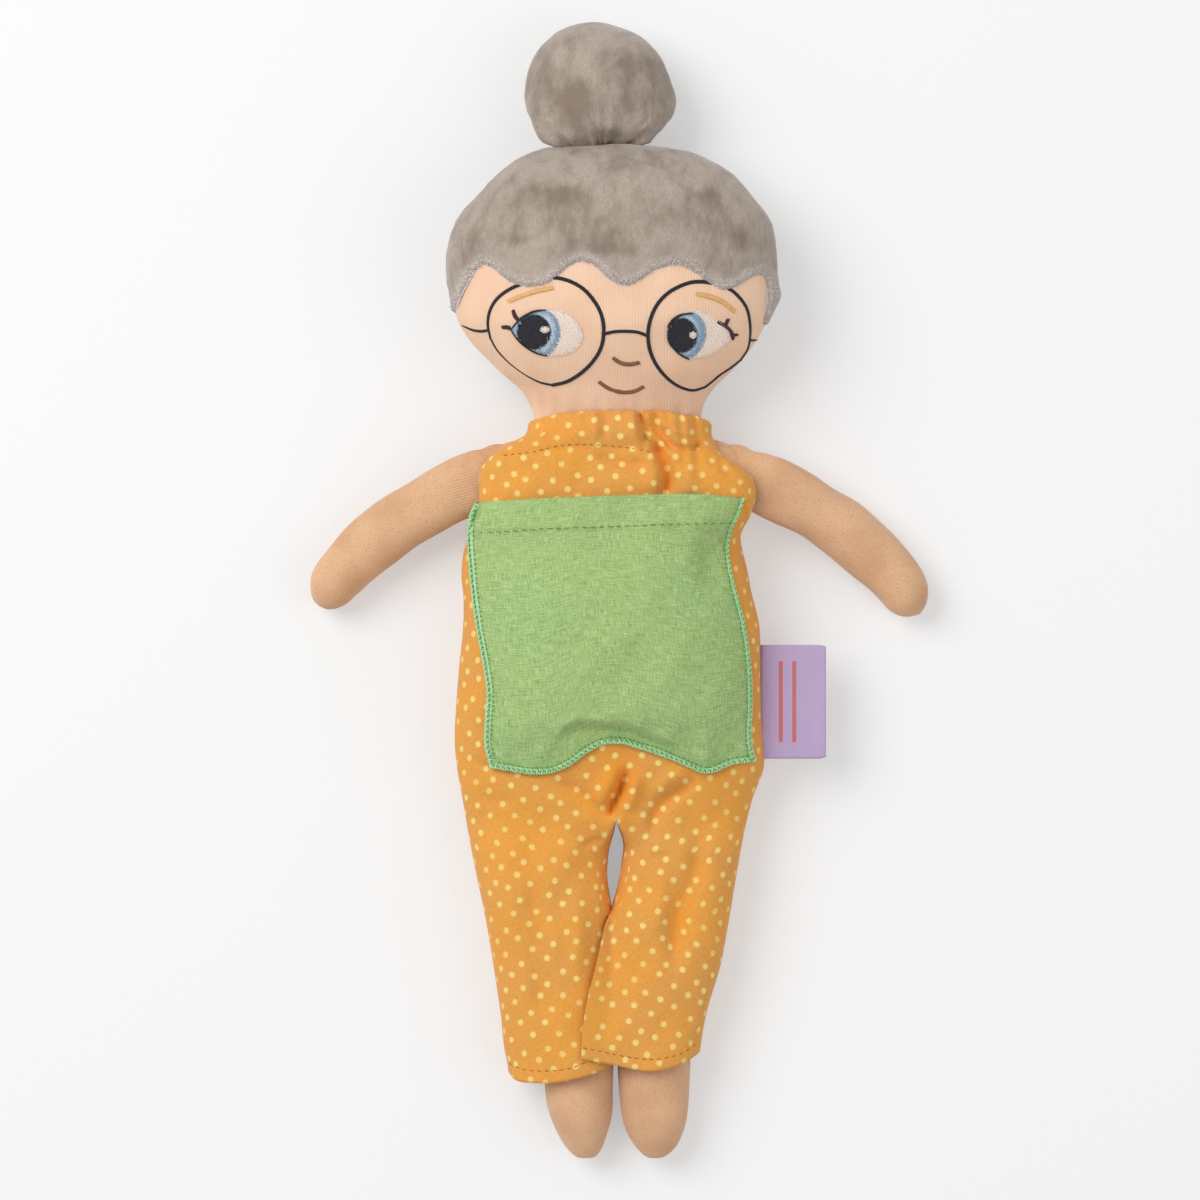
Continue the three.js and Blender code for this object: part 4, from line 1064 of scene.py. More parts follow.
@dataclass
class Stitches:
    """Stitches and the flat patches under them, gathered for one piece."""

    surface: Callable[[np.ndarray], np.ndarray]
    tree: bpy.types.GeometryNodeTree
    points: list = field(default_factory=list)
    along: list = field(default_factory=list)
    up: list = field(default_factory=list)
    reach: list = field(default_factory=list)
    mark: list = field(default_factory=list)
    faces: list = field(default_factory=list)

    def lifted(self, places: np.ndarray, lift: float) -> tuple[np.ndarray, np.ndarray]:
        """Puts flat places on the surface.

        Args:
            places: X and Y in millimetres.
            lift: How far above the surface they go.

        Returns:
            The points and the surface's normals.
        """
        step = 0.4
        z = self.surface(places)
        zx = self.surface(places + [step, 0.0]) - z
        zy = self.surface(places + [0.0, step]) - z
        normal = unit(np.stack([-zx / step, -zy / step, np.ones(len(z))], 1))
        return np.column_stack([places, z]) + normal * lift, normal

    def lay(self, places: np.ndarray, headings: np.ndarray, reach: np.ndarray | float, lift: float) -> None:
        """Adds stitches.

        Args:
            places: Their middles, X and Y.
            headings: The way that each thread runs, X and Y.
            reach: Their lengths in millimetres.
            lift: How far above the surface they lie.
        """
        if not len(places):
            return
        points, normal = self.lifted(places, lift)
        run = np.column_stack([headings, np.zeros(len(places))])
        run -= normal * np.sum(run * normal, 1)[:, None]
        run /= np.maximum(np.linalg.norm(run, axis=1), 1e-9)[:, None]
        self._add(points, run, normal, np.broadcast_to(reach, len(places)) * MM, 1.0)

    def _add(
        self, points: np.ndarray, run: np.ndarray, up: np.ndarray, reach: np.ndarray, mark: float
    ) -> int:
        """Keeps points with what the tree reads at them.

        Args:
            points: The points in millimetres.
            run: The way that each thread runs.
            up: The surface's normals.
            reach: The threads' lengths in metres.
            mark: 1 for stitches, and 0 for the points of a patch.

        Returns:
            The first point's index.
        """
        first = sum(len(p) for p in self.points)
        self.points.append(points)
        self.along.append(run)
        self.up.append(up)
        self.reach.append(np.asarray(reach, float))
        self.mark.append(np.full(len(points), mark))
        return first

    def patch(self, outline: np.ndarray, lift: float, step: float = 1.4) -> None:
        """Adds a flat patch of cloth or dense thread.

        Args:
            outline: Its closed outline, X and Y.
            lift: How far above the surface it lies.
            step: The distance between its inner points.
        """
        low, high = outline.min(axis=0), outline.max(axis=0)
        spread = np.stack(np.meshgrid(*(np.arange(a + step / 2, b, step) for a, b in zip(low, high))), -1)
        spread = spread.reshape(-1, 2)
        places = [Vector(p) for p in np.vstack([outline, spread[inside(outline, spread)]]).tolist()]
        loop = [list(range(len(outline)))]
        flat, _, faces, *_ = delaunay_2d_cdt(places, [], loop, 1, 1e-6)
        spread = np.array([[p.x, p.y] for p in flat])
        points, normal = self.lifted(spread, lift)
        edge = distance_to(np.vstack([outline, outline[:1]]), spread)[0]
        points -= normal * (lift * 0.9 * np.exp(-edge / 0.25))[:, None]
        first = self._add(points, normal * 0, normal, np.zeros(len(points)), 0.0)
        self.faces += [[first + i for i in f] for f in faces]

    def ribbon(self, run: np.ndarray, width: np.ndarray | float, lift: float) -> None:
        """Adds a rounded strip under a line of stitches.

        Args:
            run: The line's points, X and Y.
            width: Its width in millimetres.
            lift: The height of its middle.
        """
        side = course(run)[1]
        half = (np.broadcast_to(width, len(run)) / 2)[:, None]
        shares = (-1.0, -0.7, 0.0, 0.7, 1.0)
        rings = []
        for share in shares:
            points, normal = self.lifted(run + side * half * share, 0.0)
            rings.append(points + normal * (lift * (1 - share * share)))
        points = np.stack(rings, 1).reshape(-1, 3)
        first = self._add(points, points * 0, points * 0, np.zeros(len(points)), 0.0)
        self.faces += grid_faces(len(run), len(shares), first)

    def satin(self, pixels: Sequence[Pair] | np.ndarray, width: float, height: float = 0.55,
              spacing: float = 0.42, slant: float = 20.0, taper: float = 0.0) -> None:
        """Adds a line of close stitches that run across it.

        Args:
            pixels: The line, in places of the photograph.
            width: Its width in millimetres.
            height: How high it stands.
            spacing: The distance between threads.
            slant: How far the threads lean, in degrees.
            taper: How much narrower its ends are, from 0 to 1.
        """
        run, count = face_run(pixels, spacing)
        heading, side = course(run)
        lean = math.radians(90 + slant)
        across = heading * math.cos(lean) + side * math.sin(lean)
        ends = 1 - taper * np.abs(np.linspace(-1, 1, count)) ** 3
        slope = self.surface(run + across / 2) - self.surface(run - across / 2)
        seen = width * ends / np.sqrt(1 + slope**2)
        self.ribbon(run, seen, height * 0.7)
        self.lay(run, across, seen * 1.12, height * 0.55)

    def dashes(self, run: np.ndarray, dash: float, gap: float, lift: float) -> None:
        """Adds a running stitch along a line.

        Args:
            run: The line in millimetres, X and Y.
            dash: The length of a stitch.
            gap: The space to the next.
            lift: How far above the surface they lie.
        """
        even = smooth_run(run, max(int(length_of(run) / (dash + gap)), 2))
        self.lay(even, np.gradient(even, axis=0), dash, lift)

    def fill(self, outline: np.ndarray, heading: float, spacing: float, dash: float, lift: float) -> None:
        """Fills an outline with rows of short stitches.

        Args:
            outline: The closed outline, X and Y.
            heading: The way of the threads, in degrees.
            spacing: The distance between rows.
            dash: The length of a stitch.
            lift: How far above the surface they lie.
        """
        turn = math.radians(heading)
        way, side = np.array([math.cos(turn), math.sin(turn)]), np.array([-math.sin(turn), math.cos(turn)])
        rows, loop = outline @ side, np.vstack([outline, outline[:1]])
        places, lengths = [], []
        for number, level in enumerate(np.arange(rows.min() + spacing / 2, rows.max(), spacing)):
            cuts = []
            for a, b in zip(loop[:-1], loop[1:]):
                da, db = a @ side - level, b @ side - level
                if da * db < 0:
                    cuts.append((a + (b - a) * da / (da - db)) @ way)
            cuts.sort()
            for low, high in zip(cuts[::2], cuts[1::2]):
                start = low - (number % 3) * dash / 3
                while start < high:
                    a, b = max(start, low), min(start + dash, high)
                    if b - a > 0.15:
                        places.append(way * (a + b) / 2 + side * level)
                        lengths.append((b - a) * 1.08)
                    start += dash
        if places:
            self.lay(np.array(places), np.tile(way, (len(places), 1)), np.array(lengths), lift)

    def piece(self, name: str, finish: str, thread: float = 0.42, height: float = 0.32,
              uneven: float = 0.08, seed: int = 1) -> bpy.types.Object:
        """Runs the tree and keeps its mesh.

        Args:
            name: The piece's name.
            finish: The thread's finish.
            thread: The thread's width in millimetres.
            height: Its height.
            uneven: How much the lengths vary, from 0 to 1.
            seed: Chooses which are longer.

        Returns:
            The object.
        """
        marks = {
            "along": np.vstack(self.along),
            "up": np.vstack(self.up),
            "reach": np.concatenate(self.reach),
            "stitch": np.concatenate(self.mark),
        }
        made = piece_from(name, np.vstack(self.points), self.faces, finish, None, marks, weld=False)
        run = made.modifiers.new("stitches", "NODES")
        run.node_group = self.tree
        values = {"Thread Width": thread * MM, "Thread Height": height * MM, "Unevenness": uneven,
                  "Seed": seed, "Thread": material(finish)}
        for item in self.tree.interface.items_tree:
            if item.item_type == "SOCKET" and item.in_out == "INPUT" and item.name in values:
                run[item.identifier] = values[item.name]
        made.data.materials.clear()
        settle(made)
        for key in marks:
            spare = made.data.attributes.get(key)
            if spare is not None:
                made.data.attributes.remove(spare)
        return made


def inside(outline: np.ndarray, places: np.ndarray) -> np.ndarray:
    """Tells which places lie in a closed outline.

    Args:
        outline: The outline's points, X and Y.
        places: The places, X and Y.

    Returns:
        True for each place inside.
    """
    within = np.zeros(len(places), bool)
    for (ax, ay), (bx, by) in zip(outline, np.roll(outline, -1, axis=0)):
        crosses = (ay > places[:, 1]) != (by > places[:, 1])
        if crosses.any():
            within ^= crosses & (places[:, 0] < ax + (places[:, 1] - ay) / (by - ay) * (bx - ax))
    return within


def face_run(pixels: Sequence[Pair] | np.ndarray, spacing: float) -> tuple[np.ndarray, int]:
    """Turns a line of the photograph into evenly spaced places on the face.

    Args:
        pixels: The line's places in the photograph.
        spacing: The distance between the places, in millimetres.

    Returns:
        The places and their number.
    """
    rough = spots(pixels, FACE_HEIGHT)
    dense = smooth_run(rough, 60) if len(rough) > 2 else rough
    count = max(int(round(length_of(dense) / spacing)) + 1, 3)
    return smooth_run(dense, count), count


BRUSHED_PATCHES: tuple[tuple[float, float, float, float], ...] = (
    (668, 215, 30, 13), (742, 236, 26, 12), (560, 192, 26, 8), (705, 196, 16, 8), (520, 240, 18, 6),
    (615, 250, 22, 6), (664, 92, 12, 22), (572, 104, 16, 14), (628, 60, 20, 8),
)


def brushed(place: np.ndarray) -> np.ndarray:
    """Tells how far the pile lies the darker way.

    Args:
        place: Points in millimetres.

    Returns:
        From 0 to about 1 for each point.
    """
    total = np.zeros(place.shape[:-1])
    for px, py, rx, ry in BRUSHED_PATCHES:
        x, y = spot(px, py, HAIR_HEIGHT)
        dx, dy = (place[..., 0] - x) / (rx * MM_PER_PIXEL), (place[..., 1] - y) / (ry * MM_PER_PIXEL)
        total += np.exp(-(dx * dx + dy * dy))
    return np.clip(total, 0, 1)


@dataclass
class Head:
    """The stuffed head with its plush hair."""

    plush: float = 1.4
    rows: int = 130
    columns: int = 168
    outline: tuple[tuple[float, float, float], ...] = (
        (412, 532, 700), (392, 523, 710), (368, 497, 735), (344, 472.5, 755), (320, 459, 767),
        (296, 453.5, 773), (272, 450.5, 774), (248, 451.5, 772.3), (224, 458, 768.5), (200, 476, 752.5),
        (176, 501, 729.5), (160, 524, 702), (152, 545, 676),
    )
    hairline: tuple[Pair, ...] = (
        (453, 315), (455.2, 309.5), (457.4, 304), (460.4, 296), (465.2, 287), (470, 278.6), (475.4, 270),
        (482, 263.6), (491, 266.4), (504, 277),
        (517, 284.5), (533, 286.5), (548, 283), (561, 273), (573, 264.5), (583, 262), (594, 266), (607, 278),
        (619, 285), (631, 285), (642, 279), (654, 271), (666, 266.5), (679, 265.7), (692, 271), (703, 279),
        (713, 285.5), (722, 289.3), (732, 287.5), (744, 280.5), (752, 275.6), (760, 272.9), (765.4, 275.6),
        (767.4, 282), (767.8, 290), (767.4, 299), (766.8, 307), (765, 314.5), (762, 322),
    )
    neck: tuple[tuple[float, float, float], ...] = (
        (23.0, 0.0, 0.0), (24.5, 7.0, 5.0), (31.0, 14.5, 7.8), (42.0, 19.4, 8.3), (54.0, 19.6, 8.3),
        (61.0, 19.0, 6.0), (63.2, 12.0, 3.0), (63.6, 0.0, 0.0),
    )
    tip_level: float = 109.0
    hair_end: float = 0.13

    def __post_init__(self) -> None:
        """Works out the head's rings."""
        stations = [
            (-1.0, 45.0, 22.8, 0.0, 0.0), (-1.0, 45.8, 22.8, 12.0, 6.0), (-1.0, 50.0, 22.8, 26.0, 12.5),
            (-1.2, 58.0, 22.8, 30.2, 14.8),
        ]
        depth = {66: 15.6, 73: 18.5, 82: 23.0, 91: 26.5, 100: 28.7, 109: 30.0, 118: 30.0, 127: 29.9,
                 136: 28.4, 145: 25.3, 153: 20.0, 159: 13.5, 162: 9.0}
        middle = {66: 23.2, 73: 24.8, 82: 26.6, 91: 28.1}
        for (py, left, right), (level, thick) in zip(self.outline, depth.items()):
            low, high = spot(left, py)[0], spot(right, py)[0]
            centre = ((low + high) / 2, spot(0, py)[1], middle.get(level, HEAD_LEVEL))
            stations.append((*centre, (high - low) / 2, thick))
        stations += [(-5.0, 163.6, HEAD_LEVEL, 11.0, 3.6), (-5.2, 164.0, HEAD_LEVEL, 0.0, 0.0)]
        self.form = Form(stations, fullness=2.3, count=240)
        curve = smooth_run(spots(self.hairline, HAIR_HEIGHT), 260)
        self.edge_line = curve
        self.hair_area = np.vstack([[[-85, curve[0, 1]]], curve, [[85, curve[-1, 1]], [85, 190], [-85, 190]]])

    def lift(self, u: np.ndarray, angle: np.ndarray, place: np.ndarray) -> np.ndarray:
        """Gives the soft lumps of the stuffing and the small gathers at the neck.

        Args:
            u: Shares of the way along.
            angle: Angles round the rings.
            place: Points of the smooth form in millimetres.

        Returns:
            The lift in millimetres.
        """
        gathers = np.cos(place[..., 0] * 1.05 + 2 * np.sin(place[..., 0] * 0.21)) * 0.28
        low = 1 - smoothstep(place[..., 1], 62, 80)
        return lumps(place, 34, 5) * 0.35 + gathers * low

    def front(self, places: np.ndarray) -> np.ndarray:
        """Gives the height of the face over flat places.

        Args:
            places: X and Y in millimetres.

        Returns:
            Z in millimetres.
        """
        order = self.form.centre[:, 1]
        u = np.interp(places[:, 1], order, self.form.share)
        x = places[:, 0] - self.form.part(self.form.centre[:, 0], u)
        share = np.clip(np.abs(x) / np.maximum(self.form.part(self.form.width, u), 1e-6), 0, 0.9999)
        fullness = 2 / self.form.power
        thick = self.form.part(self.form.thick, u) * (1 - share**fullness) ** (1 / fullness)
        z = self.form.part(self.form.centre[:, 2], u) + thick
        points = np.column_stack([places, z])
        return z + self.lift(u, 0 * u, points) * (1 - share**6)

    def hairline_ends(self, angles: np.ndarray) -> np.ndarray:
        """Finds where the front plush ends, and evens its edge at the temples.

        Args:
            angles: Angles round the head.

        Returns:
            The share of the head's length where the plush ends at each angle.
        """
        u = np.linspace(1, self.hair_end, 500)
        ends = np.full(len(angles), self.hair_end)
        for k, angle in enumerate(angles):
            run = self.form.at(u, np.full(len(u), angle))[:, :2]
            out = np.flatnonzero(~inside(self.hair_area, run[20:]))
            ends[k] = u[20 + out[0]] if len(out) else u[-1]
        kernel = np.hanning(19)[1:-1]
        even = np.convolve(np.pad(ends, 8, mode="edge"), kernel / kernel.sum(), "valid")
        temple = 1 - smoothstep(np.minimum(angles, math.pi - angles), 0.25, 0.6)
        return ends + (even - ends) * temple

    def hair(self, name: str, front: bool) -> bpy.types.Object:
        """Makes the plush over the front or the back of the head.

        Args:
            name: The piece's name.
            front: Whether it is the front piece, which ends at the scalloped hairline.

        Returns:
            The object.
        """
        columns, rows = (300, 90) if front else (200, 120)
        start = 0.0 if front else math.pi
        angles = np.linspace(start, start + math.pi, columns)
        ends = self.hairline_ends(angles) if front else np.full(columns, self.hair_end)
        shares = np.linspace(0, 1, rows) ** 1.15
        grid_u = ends[None, :] + (1 - ends[None, :]) * shares[:, None]
        angle = np.broadcast_to(angles, grid_u.shape)
        base = self.form.at(grid_u, angle)
        normal = self.form.normal(grid_u, angle)
        from_edge = np.cumsum(np.concatenate(
            [np.zeros((1, columns)), np.linalg.norm(np.diff(base, axis=0), axis=2)]), 0)
        to_seam = np.minimum(np.abs(angle - start), np.abs(start + math.pi - angle))
        if front:
            thick = self.plush * (1 - np.exp(-(from_edge + 0.05) / 0.7))
            along_edge = distance_to(self.edge_line, base[..., :2].reshape(-1, 2))[0].reshape(base.shape[:2])
            edge = np.exp(-((along_edge / 3.4) ** 4))
        else:
            low = np.where(base[..., 0] > 0, 96.5, 101.5)
            cheek = 1 - smoothstep(base[..., 1] - low, 0, 5)
            thick = self.plush * (1 - cheek * np.exp(-to_seam / 0.5)) - 0.5 * cheek * np.exp(-to_seam / 0.25)
            edge = np.zeros(base.shape[:2])
        seam = 0.55 * np.exp(-((to_seam / 0.05) ** 2)) * smoothstep(base[..., 1], 98, 106)
        pile = lumps(base, 5.5, 11) * 0.1 + lumps(base, 17, 12) * 0.25
        if not front:
            pile *= 1 - cheek * np.exp(-to_seam / 0.4)
        thick = thick + self.lift(grid_u, angle, base) + (pile - seam) * (1 - np.exp(-from_edge / 2))
        tip = np.exp(-(((base[..., 1] - self.tip_level) / 4.4) ** 2)) * smoothstep(base[..., 0], 48, 55)
        whole = 1 - np.exp(-from_edge / 0.8) if front else 1 - cheek
        thick = thick + 1.9 * tip * whole * np.exp(-((to_seam / 0.4) ** 2))
        place = base + normal * thick[..., None]
        place[..., 2] = above_floor(place[..., 2])
        marks = {"edge": edge.ravel(), "nap": brushed(place).ravel()}
        made = piece_from(name, place.reshape(-1, 3), grid_faces(rows, columns), "plush",
                          place[..., :2].reshape(-1, 2), marks, weld=False)
        return outward(made, (0.0, 110.0, 29.0))

    def build(self) -> None:
        """Makes the head, its hair and the neck under it."""
        skin = self.form.shell("head", "face", self.rows, self.columns, self.lift)
        dressed(skin, "head", replaces=["face_panel", "head_stuffing"])
        front = self.hair("hair_front_plush", True)
        dressed(front, "head", replaces=["hair_front"])
        back = self.hair("hair_back_plush", False)
        dressed(back, "head", replaces=["head_back_panel"])
        stem = Form([(-2.2, y, NECK_LEVEL, width, thick) for y, width, thick in self.neck], fullness=2.6)
        neck = stem.shell("neck_stem", "limb", 40, 48)
        dressed(neck, "neck", replaces=["neck"])


def outward(piece: bpy.types.Object, middle: Sequence[float]) -> bpy.types.Object:
    """Turns an open sheet's faces away from a point inside the doll.

    Args:
        piece: The sheet.
        middle: The point in millimetres.

    Returns:
        The piece.
    """
    mesh = piece.data
    inner = Vector(middle) * MM
    facing = sum((face.center - inner).dot(face.normal) * face.area for face in mesh.polygons)
    if facing < 0:
        mesh.flip_normals()
    return piece


@dataclass
class Bun:
    """The round plush bun, gathered where it is sewn to the crown."""

    rows: int = 100
    columns: int = 150
    outline: tuple[tuple[float, float, float, float], ...] = (
        (149, 556, 645, 2.2), (146, 549, 650, 4.5), (142, 545, 651.5, 7.5), (130, 535, 663, 14.0),
        (113, 527, 672, 18.2), (96.5, 525, 675, 20.0), (74, 528.3, 670, 20.0), (48.7, 539.4, 655.6, 15.5),
        (34.6, 553, 638, 10.5), (26.5, 570, 618, 5.5), (23.2, 585, 604, 2.0),
    )
    creases: tuple[Crease, ...] = (
        Crease(((606, 144), (596, 128), (588, 108)), 1.3, 1.4),
        Crease(((572, 140), (560, 124), (550, 108)), 1.2, 1.4),
        Crease(((588, 144), (578, 126), (568, 104)), 1.0, 1.5),
        Crease(((634, 142), (640, 128), (652, 116)), 0.9, 1.4),
    )

    def lift(self, u: np.ndarray, angle: np.ndarray, place: np.ndarray) -> np.ndarray:
        """Gives the folds that fan out from the gathered base.

        Args:
            u: Shares of the way along.
            angle: Angles round the rings.
            place: Points of the smooth form in millimetres.

        Returns:
            The lift in millimetres.
        """
        x, y = place[..., 0] + 7.2, place[..., 1] - 158.0
        fan = np.arctan2(x, np.maximum(y, 1.0))
        near = np.exp(-np.maximum(place[..., 1] - 165, 0) / 13)
        folds = np.cos(fan * 17 + np.sin(fan * 5.3) * 1.9) * near * 0.75
        return (folds + lumps(place, 26, 21) * 0.45 + lumps(place, 7, 22) * 0.12) * smoothstep(u, 0.0, 0.05)

    def build(self) -> None:
        """Makes the bun."""
        stations = [(-7.4, 163.2, HEAD_LEVEL, 12.0, 0.0)]
        for py, left, right, thick in self.outline:
            (low, y), (high, _) = spot(left, py, BUN_HEIGHT), spot(right, py, BUN_HEIGHT)
            z = HEAD_LEVEL - 10.0 * float(smoothstep(y, 164, 190))
            stations.append(((low + high) / 2, y, z, (high - low) / 2, thick))
        stations.append((-9.3, spot(0, 22.4, BUN_HEIGHT)[1], 19.5, 0.0, 0.0))
        form = Form(stations, fullness=2.05, count=200)
        shell = form.shell("bun", "plush", self.rows, self.columns, self.lift)
        shell.data.attributes.new("edge", "FLOAT", "POINT")
        place = places_of(shell.data)
        for crease in self.creases:
            place[:, 2] += crease.height(place[:, :2]) * (place[:, 2] > 22)
        shell.data.vertices.foreach_set("co", (place * MM).astype(np.float32).ravel())
        nap = shell.data.attributes.new("nap", "FLOAT", "POINT")
        nap.data.foreach_set("value", brushed(place).astype(np.float32))
        dressed(shell, "bun", replaces=["bun_front", "bun_back", "bun_stuffing"])


@dataclass
class Limbs:
    """The stuffed torso inside the jumpsuit, and the arms and legs."""

    rows: int = 90
    columns: int = 72
    fill: float = 0.8
    body: tuple[tuple[float, float, float, float, float], ...] = (
        (-0.5, 58.6, 22.8, 0.0, 0.0), (-0.5, 58.2, 22.8, 27.0, 2.0), (-1.0, 56.4, 22.8, 35.5, 3.6),
        (-1.6, 54.2, 22.8, 42.3, 5.0), (-1.2, 51.8, 22.8, 45.2, 7.0), (-1.0, 47.0, 22.6, 46.6, 10.4),
        (-1.0, 36.0, 22.2, 46.6, 15.0), (-1.6, 20.0, 21.8, 46.4, 18.8), (-2.6, 0.0, 21.4, 46.6, 20.2),
        (-3.0, -30.0, 21.0, 45.8, 19.4), (-3.0, -53.0, 18.6, 43.4, 13.0), (-3.0, -69.0, 16.0, 38.0, 6.0),
        (-3.0, -77.0, 15.2, 33.5, 1.9), (-3.0, -77.4, 15.0, 0.0, 0.0),
    )
    arms: tuple[tuple[str, tuple[Pair, ...]], ...] = (
        ("right", ((514, 465), (492, 474), (470, 484), (447, 495), (424, 507), (402, 520), (382, 535),
                   (363, 551), (347, 567), (335, 581), (330, 589))),
        ("left", ((720, 468), (745, 477.5), (770, 487), (797, 500), (820, 513), (841, 527), (860, 542),
                  (877, 558), (892, 574), (903, 588), (909, 597))),
    )
    feet: tuple[tuple[str, tuple[tuple[float, float, float], ...]], ...] = (
        ("right", ((1060, 544, 614), (1084, 545, 613.5), (1111, 549.6, 612), (1136, 560, 606),
                   (1150, 570, 601.5), (1156.5, 577.5, 596))),
        ("left", ((1060, 617.5, 690), (1071, 617.5, 690), (1107, 621, 688.5), (1132, 628, 682),
                  (1149, 638, 673.5), (1156.5, 646, 664.5))),
    )

    def hang(
        self, form: Form, lift: Callable, limb: str, start: Sequence[float], end: Sequence[float]
    ) -> None:
        """Makes a limb, fixed in place.

        Args:
            form: Its form.
            lift: The lift of its surface for shares, angles and points.
            limb: Its name.
            start: A point by its root, in millimetres, which is not used.
            end: A point further along the limb, which is not used.
        """
        made = form.shell(limb, "limb", self.rows, self.columns, lift)
        nodes = [f"{limb}_{part}" for part in ("root", "front", "back", "stuffing")]
        dressed(made, blend=(f"{limb}_root", limb, start, end), replaces=nodes)

    def arm(self, side: str, line: Sequence[Pair]) -> None:
        """Makes one arm.

        Args:
            side: Right or left.
            line: Its middle line in the photograph, from the shoulder to the hand.
        """
        sign = -1 if side == "right" else 1
        heights = (22.4, 22.2, 20.8, 18.0, 14.4, 12.4, 11.0, 10.2, 9.9, 9.8, 9.8)
        widths = (9.0, 10.3, 11.5, 11.2, 11.0, 11.0, 10.9, 10.6, 10.1, 9.4, 8.6)
        thick = (2.2, 3.2, 5.0, 7.2, 9.0, 10.1, 10.3, 10.2, 10.0, 9.4, 8.6)
        places = spots(line, LIMB_HEIGHT)
        back, on = unit(places[[0, -1]] - places[[1, -2]])
        stations = [(*(places[0] + back * 0.6), 22.4, 0.0, 0.0)]
        stations += [(*p, z, w, t) for p, z, w, t in zip(places, heights, widths, thick)]
        for reach, z, w, t in ((4.4, 9.6, 6.0, 6.4), (6.6, 9.5, 3.2, 3.4), (7.4, 9.5, 0.0, 0.0)):
            stations.append((*(places[-1] + on * reach), z, w, t))

        def lift(u: np.ndarray, angle: np.ndarray, place: np.ndarray) -> np.ndarray:
            """Gives soft lumps, and a few wrinkles near the shoulder."""
            wrinkle = np.cos(u * 95 + np.sin(angle * 2) * 1.5) * np.exp(-((u - 0.13) / 0.07) ** 2) * 0.25
            return (lumps(place, 24, 31 + sign) * 0.3 + wrinkle) * tapered(u, 0.04)

        pivot = np.array([sign * 58.4, 40.4, 20.6])
        way = np.array([sign * 0.88, -0.47, 0.0])
        form = Form(stations, fullness=2.05, count=180, level=False)
        self.hang(form, lift, f"{side}_arm", pivot - way * 6, pivot + way * 8)

    def leg(self, side: str, foot: Sequence[tuple[float, float, float]]) -> None:
        """Makes one leg with its foot.

        Args:
            side: Right or left.
            foot: The foot's outline in the photograph, each a height and its two edges.
        """
        hip = HIPS[side]
        levels = ((-80.0, 15.0, 0.0, 0.0), (-80.6, 15.0, 10.5, 1.7), (-90.0, 15.0, 11.6, 5.0),
                  (-106.0, 14.8, 11.8, 10.4), (-140.0, 14.2, 11.9, 11.4))
        stations = [(hip, *level) for level in levels]
        middles = (13.0, 12.6, 11.6, 11.0, 10.6, 10.4)
        thick = (10.8, 10.8, 10.8, 9.2, 6.0, 3.4)
        for (py, left, right), middle, depth in zip(foot, middles, thick):
            low, high = spot(left, py, LIMB_HEIGHT), spot(right, py, LIMB_HEIGHT)
            stations.append(((low[0] + high[0]) / 2, low[1], middle, (high[0] - low[0]) / 2, depth))
        x, y, z = stations[-1][:3]
        stations.append((x, y - 0.5, z, 0.0, 0.0))

        def lift(u: np.ndarray, angle: np.ndarray, place: np.ndarray) -> np.ndarray:
            """Gives the soft lumps of the stuffing."""
            return lumps(place, 22, 41) * 0.3 * tapered(u, 0.05)

        form = Form(stations, fullness=2.1, count=180)
        self.hang(form, lift, f"{side}_leg", (hip, -86.0, 15.0), (hip, -100.0, 15.0))

    def build(self) -> None:
        """Makes the torso, arms and legs."""
        torso = Form(self.body, fullness=2.2).shell("torso", "limb", 70, 90)
        nodes = ["torso_front", "torso_back", "torso_stuffing"]
        dressed(torso, "torso", replaces=nodes)
        for side, line in self.arms:
            self.arm(side, line)
        for side, foot in self.feet:
            self.leg(side, foot)


def trouser_band(side: str) -> tuple[str, str, tuple[float, float, float], tuple[float, float, float]]:
    """Gives one trouser leg's two bodies and two points along it."""
    hip = HIPS[side]
    return f"{side}_leg_root", f"{side}_leg", (hip, -98.0, 15.0), (hip, -126.0, 15.0)


def table_at(table: Sequence[Pair], y: np.ndarray | float) -> np.ndarray:
    """Reads a table of Y and a value, smoothly, at any Y."""
    rows = smooth_run(sorted(table), 200)
    return np.interp(y, rows[:, 0], rows[:, 1])


def outline_at(pixels: Sequence[Pair], y: np.ndarray | float) -> np.ndarray:
    """Reads an edge of the photograph as X over Y, in millimetres.

    Args:
        pixels: Places on the edge.
        y: Heights along the doll.

    Returns:
        X at each height.
    """
    places = spots(pixels)
    return table_at([(p[1], p[0]) for p in places], y)


def run_across(grid: np.ndarray) -> np.ndarray:
    """Measures each row of a grid from its first point, in X and Z, in millimetres."""
    steps = np.linalg.norm(np.diff(grid, axis=1)[..., ::2], axis=2)
    return np.concatenate([np.zeros((len(grid), 1)), np.cumsum(steps, axis=1)], axis=1)


